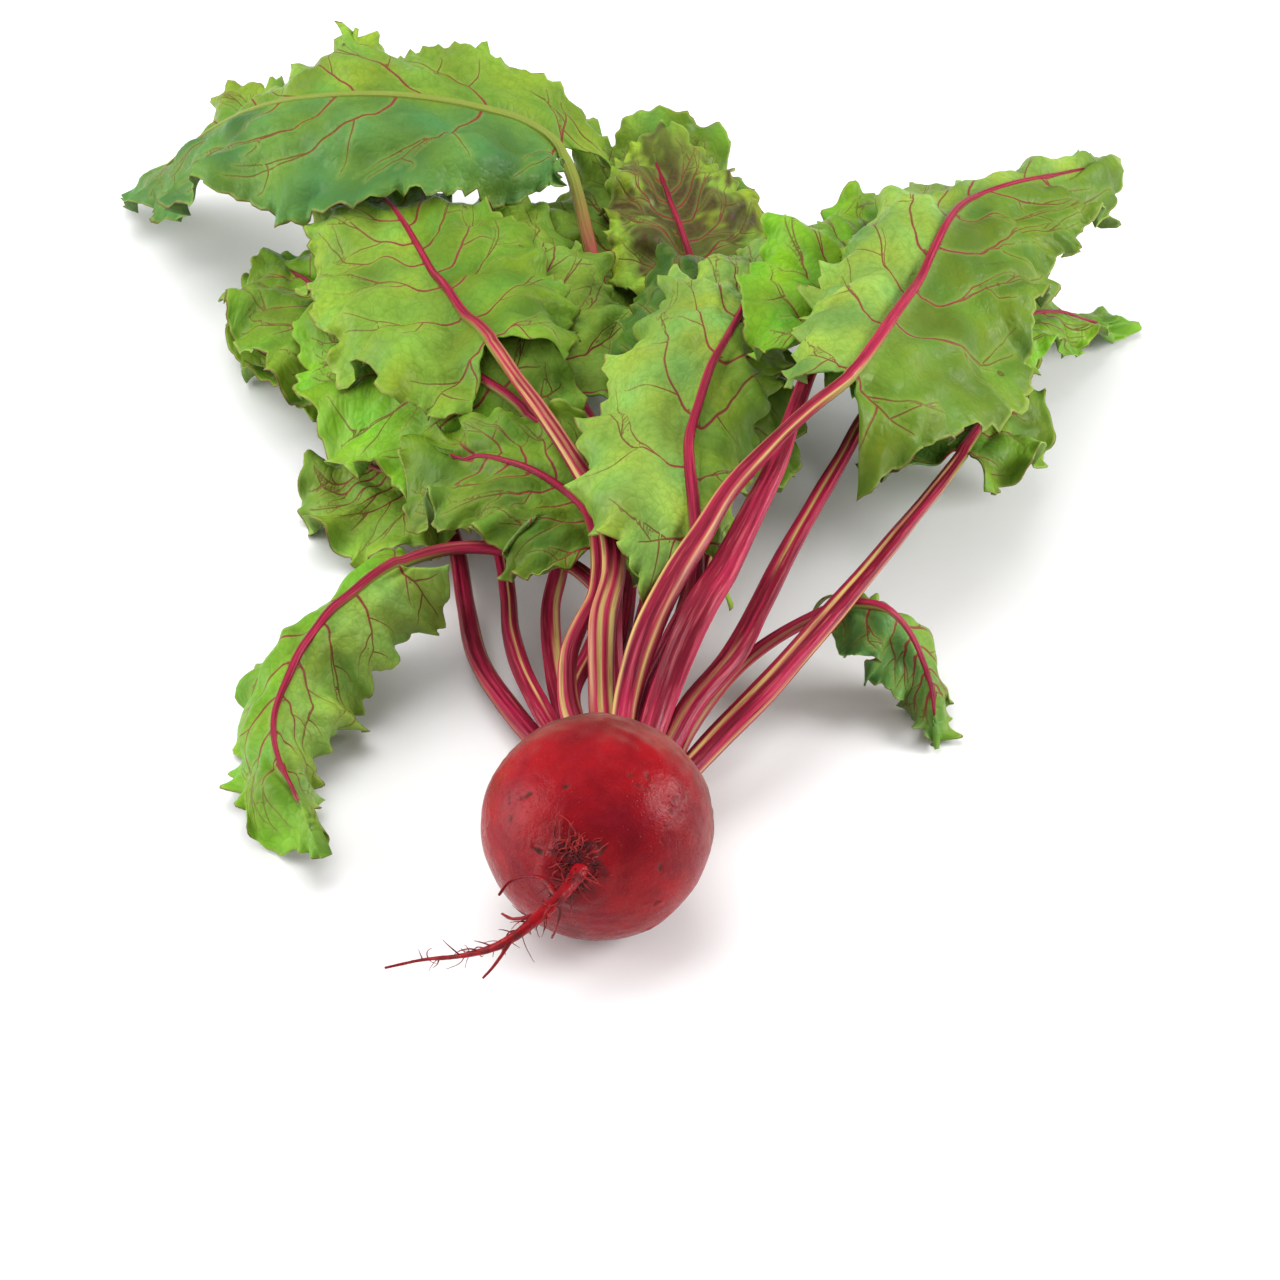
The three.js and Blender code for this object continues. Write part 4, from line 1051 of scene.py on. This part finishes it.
def drop_unused(points, faces, attributes):
    """Takes out the points that no face uses."""
    numbers = np.array(faces)
    used, new = np.unique(numbers, return_inverse=True)
    kept = {name: values[used] for name, values in attributes.items()}
    return points[used], new.reshape(numbers.shape).tolist(), kept


# ---------------------------------------------------------------- one stalk


def stalk_section(at, share, rng):
    """How far the stalk's skin is from its middle, in radii, and its angles: ribbed, channelled on top."""
    angle = round_it(STALK_SIDES)
    first_rib = rng.uniform(0, 2 * math.pi)
    ribs = rng.integers(9, 12)
    ridge = np.cos(ribs * angle + first_rib + 0.25 * np.sin(3 * angle + rng.uniform(0, 6)))
    channel = np.maximum(0, np.sin(angle))**5
    deep = 0.26 * smooth_step(0.02, 0.2, share) * smooth_step(1.6, 0.9, share)
    flare = 1 + 0.16 * smooth_step(0.09, 0.0, share)
    ripple = 0.045 * ridge * smooth_step(1.5, 0.8, share)
    uneven = 0.02 * drift(at, 40, rng)[:, None]
    return flare, 1 - deep * channel + ripple + uneven, angle


def stalk_colours(leaf, at, share, angle, rng):
    """How striped pale, how brown and how green the stalk is, at each point of its rings; the brown is laid
    on thicker along the underside as painted shade.
    """
    pale = np.zeros((len(at), STALK_SIDES))
    for _ in range(5):
        middle = rng.uniform(-0.3, 2 * math.pi)
        broad = rng.uniform(0.16, 0.36)
        away = np.abs((angle - middle + math.pi) % (2 * math.pi) - math.pi)
        strength = smooth_step(-0.6, 0.3, drift(at, 150, rng) + leaf["tan"] * 1.6 - 0.5)
        pale = np.maximum(pale, smooth_step(broad, broad * 0.4, away)[None] * strength[:, None])
    pale *= min(1, 0.4 + leaf["tan"])
    pale *= smooth_step(1.1, 0.9, share)
    # Painted shade: the brown lies thicker along the stalk's underside, where shade falls; elsewhere it is
    # the stalk's own patchy brown.
    under = smooth_step(-0.1, -0.8, np.sin(angle))[None]
    patchy = smooth_step(-0.8, 0.6, drift(at, 90, rng))[:, None]
    dark = leaf["dark"] * (0.35 + 0.65 * under) * patchy
    wing = smooth_step(0.75, 1.0, np.abs(np.cos(angle)))[None] * smooth_step(0.86, 0.99, share)
    green = wing * 0.8 * smooth_step(1.25, 1.0, share)
    green = np.maximum(green, leaf.get("green", 0) * smooth_step(0.8, 1.0, share))
    return np.stack([pale, np.clip(dark, 0, 0.85), green], -1)


def build_stalk(leaf, route, middles, radii, distances, tip, crest, look, number, pile):
    """A ribbed stalk, channelled along its top, that runs out into the midrib."""
    rng = np.random.default_rng(SEED + STALK_DRAWS + number)
    path = Route(np.vstack([middles, tip]))
    at = np.linspace(0, path.length, int(path.length / STALK_STEP))
    centre = path.point_at(at)
    radius = np.interp(at, path.knots, np.concatenate([radii, TIP_RADII]))
    ends = [mix(route.blade_start, route.length, station / BLADE_STATIONS) for station in TIP_STATIONS]
    travelled = np.interp(at, path.knots, np.concatenate([distances, ends]))
    station = (travelled - route.blade_start) / (route.length - route.blade_start)
    proud = np.interp(station, np.linspace(0, 1, len(crest)), crest) + RIB_PROUD
    centre[:, 2] = np.where(station > 0, np.maximum(centre[:, 2], proud), centre[:, 2])
    right, up = beside(centre)

    share = np.clip(travelled / route.blade_start, 0, 2)[:, None]
    at = at[:, None]
    flare, section, angle = stalk_section(at, share, rng)
    reach_out = radius[:, None] * flare * section
    wide = 1 + 0.06 * smooth_step(0.05, 0.3, share)
    cosine = np.cos(angle)
    sine = np.sin(angle)
    ring = (centre[:, None] + right[:, None] * (reach_out * cosine * wide)[..., None]
            + up[:, None] * (reach_out * sine * (2 - wide))[..., None])
    pile.add(ring)

    grain = np.broadcast_arrays(GRAIN_RADIUS * cosine, GRAIN_RADIUS * sine, at / GRAIN_LENGTH + 7 * number)
    attributes = {
        "stripe": stalk_colours(leaf, at, share, angle, rng).reshape(-1, 3),
        "grain": np.stack(grain, -1).reshape(-1, 3),
    }
    points = ring.reshape(-1, 3)
    faces = tube_faces(len(at), STALK_SIDES)
    faces.append(list(range(STALK_SIDES)))
    faces.append(list(range(len(points) - 1, len(points) - 1 - STALK_SIDES, -1)))
    name = leaf["name"] + "_stalk"
    make_piece("visual_" + name, points, faces, [look], [name], attributes)


# ---------------------------------------------------------------- the root

# Heights along the crown's axis from the middle of the globe, and the radius at each.
ROOT_PROFILE = [
    [31, 0], [31, 7], [30.6, 13.5], [29.6, 20], [27.4, 25], [23, 29.7], [17.5, 33.3], [11, 35.9],
    [4, 37.3], [-4, 37.3], [-11, 35.6], [-17.5, 32.4], [-23, 28.4], [-27.6, 23.6], [-31.2, 18.4],
    [-34, 13.6], [-36.4, 9.6], [-37.4, 0],
]
# Places, each with the root's radius there.
TAPROOT = [
    [-4.5, -29, 47.5, 3.8], [-4.9, -34.9, 50.6, 3], [-7.2, -40, 50.6, 2.3], [-11.5, -47.1, 50, 2.05],
    [-17.4, -52.6, 47.5, 1.85], [-24.3, -56.6, 43.5, 1.6], [-31.6, -57.3, 38.5, 1.3],
    [-42.9, -54.2, 31.5, 0.8], [-55.3, -49.4, 25, 0.55], [-67.4, -47.9, 20, 0.4],
]
ROOTLETS = [
    [[-12.4, -46, 50.5, 1], [-16.1, -38, 49, 0.75], [-20.9, -34.8, 47.6, 0.6],
     [-27.5, -33.5, 44, 0.5], [-30.7, -39.4, 44, 0.4]],
    [[-17.1, -51.7, 47.5, 1], [-21.5, -51.5, 46, 0.7], [-26, -49.3, 43, 0.5], [-29.7, -43.9, 40, 0.4]],
    [[-26.2, -57.3, 42.5, 1], [-29, -59.5, 38, 0.7], [-32.2, -60.6, 33, 0.5], [-35.5, -60.5, 28, 0.4]],
    [[-11.8, -46.5, 49, 1], [-11.2, -47.2, 44, 0.7], [-12.3, -47.3, 38, 0.5], [-14, -45.5, 31, 0.4]],
]
TAPROOT_BASE = np.array(TAPROOT[1][:3])
# A healed place with its own tuft of hairs, and places of single marks with each one's half
# length, half width and turn.
HEALED = np.array([-6.6, -31.4, 56.0])
MARKS = [
    [-22.7, -13.1, 63.3, 2.4, 0.8, 60], [-24.6, -12.8, 61.6, 1.0, 0.6, 0],
    [-9.8, -15.4, 69.3, 1.3, 0.9, 20], [-28.2, -16.1, 55.3, 1.1, 0.8, 90],
    [11.1, -11.8, 70.3, 1.2, 0.5, 0], [14.2, -14.7, 67.8, 3.6, 0.28, -52],
    [-28.5, -9.5, 58.9, 3.8, 0.22, -30], [21.3, -29.4, 45.9, 1.2, 0.8, 70],
    [24.5, -17.5, 59.4, 1.0, 0.7, 10],
]
GLOBE_RINGS = 190
GLOBE_SIDES = 240
PROFILE_STEPS = 14
SCARS = 12
PITS_BY_TAPROOT = 7
FREE_HAIRS = 80
HEALED_HAIRS = 40
BASE_HAIRS = 30
FREE_HAIR_STEPS = 5
CREEPING_HAIR_STEPS = 8


def bare_globe():
    """The smooth round of the root, with each point's height on the crown's axis and its radius."""
    path = Route([[height, radius, 0] for height, radius in ROOT_PROFILE], PROFILE_STEPS)
    profile = path.point_at(np.linspace(0, path.length, GLOBE_RINGS))
    height = profile[:, :1]
    radius = np.maximum(profile[:, 1:2], 0.05)
    angle = round_it(GLOBE_SIDES)[None]
    swell = 1 + 0.012 * np.sin(2 * angle + 0.8) + 0.008 * np.sin(3 * angle + height / 14)
    outward = ACROSS * np.cos(angle)[..., None] + UPRIGHT * np.sin(angle)[..., None]
    points = ROOT_CENTRE + CROWN_AXIS * height[..., None] + outward * (radius * swell)[..., None]
    return points, np.broadcast_to(height, swell.shape), np.broadcast_to(radius, swell.shape)


def oval(points, away, middle, lean, size, blurs, rng):
    """How far each point lies from the middle of an oval spot, which is 1 at its edge."""
    offsets = [(away @ way) * ROOT_RADIUS + amount * drift(points, wavelength, rng)
               for way, (amount, wavelength) in zip((lean, np.cross(middle, lean)), blurs)]
    far_side = 9 * (away @ middle < 0)
    return np.sqrt((offsets[0] / size[0])**2 + (offsets[1] / size[1])**2) + far_side


def blemishes(points, away, rng):
    """How scarred each point of the globe is, and how deep it is dented."""
    scar = np.zeros(points.shape[:2])
    dent = np.zeros(points.shape[:2])
    for _ in range(SCARS):
        middle = unit(rng.normal(size=3))
        if middle @ CROWN_AXIS > 0.75:
            continue
        lean = unit(np.cross(middle, rng.normal(size=3)))
        size = (rng.uniform(1.0, 2.4), rng.uniform(0.5, 0.9))
        near = oval(points, away, middle, lean, size, ((0.7, 5), (0.5, 4)), rng)
        scar = np.maximum(scar, smooth_step(1.15, 0.7, near) * rng.uniform(0.45, 0.95))
        dent += 0.35 * np.exp(-near**2) - 0.3 * np.exp(-(near - 1.3)**2 * 3)
    for *place, long, short, turn in MARKS:
        middle = unit(np.array(place) - ROOT_CENTRE)
        level = unit(np.cross(UP, middle))
        steep = np.cross(middle, level)
        lean = level * math.cos(math.radians(turn)) + steep * math.sin(math.radians(turn))
        near = oval(points, away, middle, lean, (long, short), ((0.25, 3), (0.25, 3)), rng)
        scar = np.maximum(scar, smooth_step(1.3, 0.5, near) * 0.9)
        dent += 0.3 * np.exp(-near**2)
    for _ in range(PITS_BY_TAPROOT):
        turn = rng.uniform(0, 2 * math.pi)
        far = rng.uniform(5, 12)
        ahead = ACROSS * math.cos(turn) + UPRIGHT * math.sin(turn)
        middle = unit(TAPROOT_BASE - ROOT_CENTRE + far * ahead)
        near = np.linalg.norm((away - middle) * ROOT_RADIUS, axis=2) / rng.uniform(0.7, 1.5)
        scar = np.maximum(scar, smooth_step(1.2, 0.6, near + 0.3 * drift(points, 3, rng)) * 0.8)
        dent += 0.4 * np.exp(-near**2)
    return scar, dent


def globe():
    """The round of the root: its points, faces, and shoulder, scar and dirt at each point."""
    rng = np.random.default_rng(SEED + GLOBE_DRAWS)
    points, height, radius = bare_globe()
    away = units(points - ROOT_CENTRE)
    # The shoulder mask covers the crown's half of the globe; its grey-brown is worn skin and painted sheen
    # along the top rim.
    shoulder = height + 5 * drift(points, 26, rng) + 2.4 * drift(points, 7, rng)
    shoulder = smooth_step(-10, 10, shoulder)
    from_base = np.linalg.norm(points - TAPROOT_BASE, axis=2)
    from_healed = np.linalg.norm(points - HEALED, axis=2)
    lift = 1.5 * np.exp(-(from_base / 5)**2) + 0.5 * np.exp(-(from_healed / 4.5)**2)
    dirt = smooth_step(9, 3, from_base + 3 * drift(points, 5, rng)) * 0.7
    dirt = np.maximum(dirt, smooth_step(6.5, 3, from_healed + 1.6 * drift(points, 3, rng)))
    scar, dent = blemishes(points, away, rng)
    rings = 0.16 * np.sin(height * 2.4 + 0.8 * drift(points, 18, rng)) * smooth_step(14, 28, height)
    relief = lift - dent + rings * smooth_step(2, 12, radius)
    relief += (0.14 * drift(points, 17, rng) + 0.035 * drift(points, 5, rng)
               + 0.1 * shoulder * drift(points, 4, rng))
    points = points + away * relief[..., None]
    numbers = np.arange(GLOBE_RINGS * GLOBE_SIDES).reshape(GLOBE_RINGS, GLOBE_SIDES)
    after = np.roll(numbers, -1, axis=1)
    faces = np.stack([numbers[:-1], after[:-1], after[1:], numbers[1:]], -1).reshape(-1, 4).tolist()
    faces.append(numbers[0, ::-1].tolist())
    faces.append(numbers[-1].tolist())
    skin = np.stack([shoulder * 0.85, scar, dirt], -1).reshape(-1, 3)
    return points.reshape(-1, 3), faces, skin


def branch(stations, sides, step, rng, rough=0.0, dirty=0.0):
    """A tapering root through the stations, each a place and a radius."""
    stations = np.array(stations, float)
    path = Route(stations[:, :3])
    rings = max(6, int(path.length / step))
    at = np.linspace(0, path.length, rings)
    centre = path.point_at(at)
    radius = np.interp(at, path.knots, stations[:, 3])[:, None]
    right, up = beside(centre)
    angle = round_it(sides)[:, None]
    outward = right[:, None] * np.cos(angle) + up[:, None] * np.sin(angle)
    even = centre[:, None] + outward * radius[..., None]
    uneven = 1 + rough * (0.6 * drift(even, 9, rng) + 0.5 * drift(even, 3.5, rng))
    points = centre[:, None] + outward * (radius * uneven)[..., None]
    patches = smooth_step(0.1, 1.0, drift(points, 7, rng)) * dirty
    skin = np.stack([0 * patches, 0.5 * patches, patches], -1).reshape(-1, 3)
    faces = tube_faces(rings, sides)
    faces.append(list(range(rings * sides - 1, (rings - 1) * sides - 1, -1)))
    return points.reshape(-1, 3), faces, skin


def gather(parts):
    """Several parts as one mesh."""
    points, faces, skins = zip(*parts)
    firsts = np.cumsum([0] + [len(chunk) for chunk in points])
    joined = [[number + int(first) for number in face]
              for chunk, first in zip(faces, firsts) for face in chunk]
    return np.vstack(points), joined, np.vstack(skins)


def free_hair(tap, thick, rng):
    """A fine root that stands off the tap root."""
    index = int(rng.uniform(0, 1)**1.3 * (len(tap) - 24)) + 14
    forward = unit(tap[index + 1] - tap[index])
    outward = rng.normal(size=3)
    outward = unit(outward - forward * (outward @ forward))
    line = [tap[index] + outward * thick[index] * 0.8]
    bend = rng.normal(size=3)
    length = rng.uniform(2, 11)
    heading = unit(outward + 0.6 * forward)
    for _ in range(FREE_HAIR_STEPS):
        droop = np.array([0, 0, -0.12])
        heading = unit(heading + 0.35 * bend * rng.uniform(0.3, 1) + droop)
        line.append(line[-1] + heading * length / FREE_HAIR_STEPS)
    return np.column_stack([line, np.linspace(rng.uniform(0.16, 0.34), 0.09, FREE_HAIR_STEPS + 1)])


def creeping_hair(middle, spread, length, rng):
    """A fine root that lies on the skin of the globe near a place."""
    place = unit(middle - ROOT_CENTRE + spread * rng.normal(size=3))
    heading = rng.normal(size=3)
    turn = rng.normal() * 0.25
    line = []
    for step in range(CREEPING_HAIR_STEPS + 1):
        heading = unit(heading - place * (heading @ place))
        heading = unit(heading + np.cross(place, heading) * (turn + 0.3 * rng.normal()))
        place = unit(place + heading * length / CREEPING_HAIR_STEPS / ROOT_RADIUS)
        height = 0.35 + 1.3 * math.sin(math.pi * step / CREEPING_HAIR_STEPS) * rng.uniform(0.3, 1)
        line.append(ROOT_CENTRE + place * (ROOT_RADIUS + height))
    radii = np.linspace(rng.uniform(0.22, 0.5), 0.12, CREEPING_HAIR_STEPS + 1)
    return np.column_stack([line, radii])


def inside_box(stations):
    """Whether a hair stays clear of the sides of the part's box."""
    places = np.array(stations)[:, :3]
    return bool(((places > BOX_LOW + HAIR_ROOM) & (places < BOX_HIGH - HAIR_ROOM)).all())


def build_root(look):
    """The root; gives back its run of random draws, which the hairs go on with."""
    rng = np.random.default_rng(SEED + ROOT_DRAWS)
    parts = [globe(), branch(TAPROOT, 36, 0.55, rng, 0.10, 0.5)]
    parts += [branch(stations, 14, 0.8, rng, 0.14, 0.5) for stations in ROOTLETS]
    points, faces, skin = gather(parts)
    make_piece("visual_root", points, faces, [look], ["root"], {"skin": skin})
    return rng


def build_hairs(look, rng):
    stations = np.array(TAPROOT)
    tap = spline(stations[:, :3], ROUTE_STEPS)
    thick = np.interp(np.arange(len(tap)) / ROUTE_STEPS, np.arange(len(stations)), stations[:, 3])
    hairs = [free_hair(tap, thick, rng) for _ in range(FREE_HAIRS)]
    hairs += [creeping_hair(HEALED, 2.0, rng.uniform(3, 10), rng) for _ in range(HEALED_HAIRS)]
    hairs += [creeping_hair(TAPROOT_BASE, 2.4, rng.uniform(3, 8), rng) for _ in range(BASE_HAIRS)]
    parts = [branch(hair, 6, 0.6, rng) for hair in hairs if inside_box(hair)]
    points, faces, _ = gather(parts)
    make_piece("visual_root_hairs", points, faces, [look], [], {})


# ---------------------------------------------------------------- building it all


def build_leaf(leaf, number, blade_looks, stalk_material, pile):
    """A leaf's blade, then its stalk, whose midrib lies on the blade as that came out."""
    route = leaf_route(leaf)
    middles, radii, distances = laid_stalk(leaf, route)
    coarse = laid_blade(leaf, route)
    inner = coarse[:, :LAST_RIB_STATION + 1, 0, 2].mean(0)
    proud = np.linspace(*RIB_RISE, LAST_RIB_STATION + 1)
    middles[STALK_STATIONS:, 2] = np.maximum(middles[STALK_STATIONS:, 2], inner + proud)
    crest = build_blade(leaf, route, coarse, middles, blade_looks, number, pile)
    tip = coarse[0, LAST_RIB_STATION + 1:, 0]
    tip = np.array([tip[0], mix(tip[0], tip[1], 0.8)]) + UP * TIP_RISE
    build_stalk(leaf, route, middles, radii, distances, tip, crest, stalk_material, number, pile)


def build_leaves():
    blade_looks = [blade_top(), blade_under()]
    stalk_material = stalk_look()
    pile = Pile()
    names = [leaf["name"] for leaf in LEAVES]
    order = [name for name in names if name != LAID_LATE]
    order.insert(order.index(LAID_UNDER_IT) + 1, LAID_LATE)
    for name in order:
        number = names.index(name)
        build_leaf(LEAVES[number], number, blade_looks, stalk_material, pile)


root_draws = build_root(skin_look())
build_hairs(hair_look(), root_draws)
build_leaves()

# ---------------------------------------------------------------- floor, light and camera

FLOOR_HALF = 6.0
WORLD_STRENGTH = 0.5
# Each light's name, place, what it points at, size in metres and watts.
LIGHTS = [
    ("overhead", (-0.35, 0.5, 1.4), (0, 0.12, 0), (1.6, 1.4), 22),
    ("left_box", (-1.0, 0.0, 0.35), (0, 0.02, 0.04), (0.7, 0.8), 9),
    ("right_box", (1.0, 0.05, 0.5), (0, 0.02, 0.04), (0.5, 0.5), 12),
]
LENS = 112.25
CAMERA_PLACE = (0.0140, -0.9565, 0.9190)
CAMERA_TILT = 50


def add_floor():
    mesh = bpy.data.meshes.new("floor")
    corners = [(FLOOR_HALF * x, FLOOR_HALF * y, 0) for x, y in ((-1, -1), (1, -1), (1, 1), (-1, 1))]
    mesh.from_pydata(corners, [], [(0, 1, 2, 3)])
    mesh.materials.append(floor_look())
    link(bpy.data.objects.new("floor", mesh))


def add_light(name, place, target, size, power):
    light = bpy.data.lights.new(name, "AREA")
    light.shape = "RECTANGLE"
    light.size, light.size_y = size
    light.energy = power
    lamp = link(bpy.data.objects.new(name, light))
    lamp.location = place
    away = np.array(place) - np.array(target)
    yaw = math.atan2(away[0], -away[1])
    lamp.rotation_euler = (math.atan2(math.hypot(away[0], away[1]), away[2]), 0, yaw)
    return lamp


def add_world():
    world = bpy.data.worlds.new("studio")
    world.use_nodes = True
    background = world.node_tree.nodes["Background"]
    background.inputs["Color"].default_value = (1, 1, 1, 1)
    background.inputs["Strength"].default_value = WORLD_STRENGTH
    bpy.context.scene.world = world


def add_camera():
    camera = bpy.data.cameras.new("camera")
    camera.lens = LENS
    camera.sensor_width = 36
    camera.clip_end = 50
    holder = link(bpy.data.objects.new("camera", camera))
    holder.location = CAMERA_PLACE
    holder.rotation_euler = (math.radians(CAMERA_TILT), 0, 0)
    bpy.context.scene.camera = holder


add_floor()
add_world()
lamps = {light[0]: add_light(*light) for light in LIGHTS}
lamps["overhead"].visible_glossy = False
add_camera()
bpy.context.scene.view_settings.view_transform = "Standard"
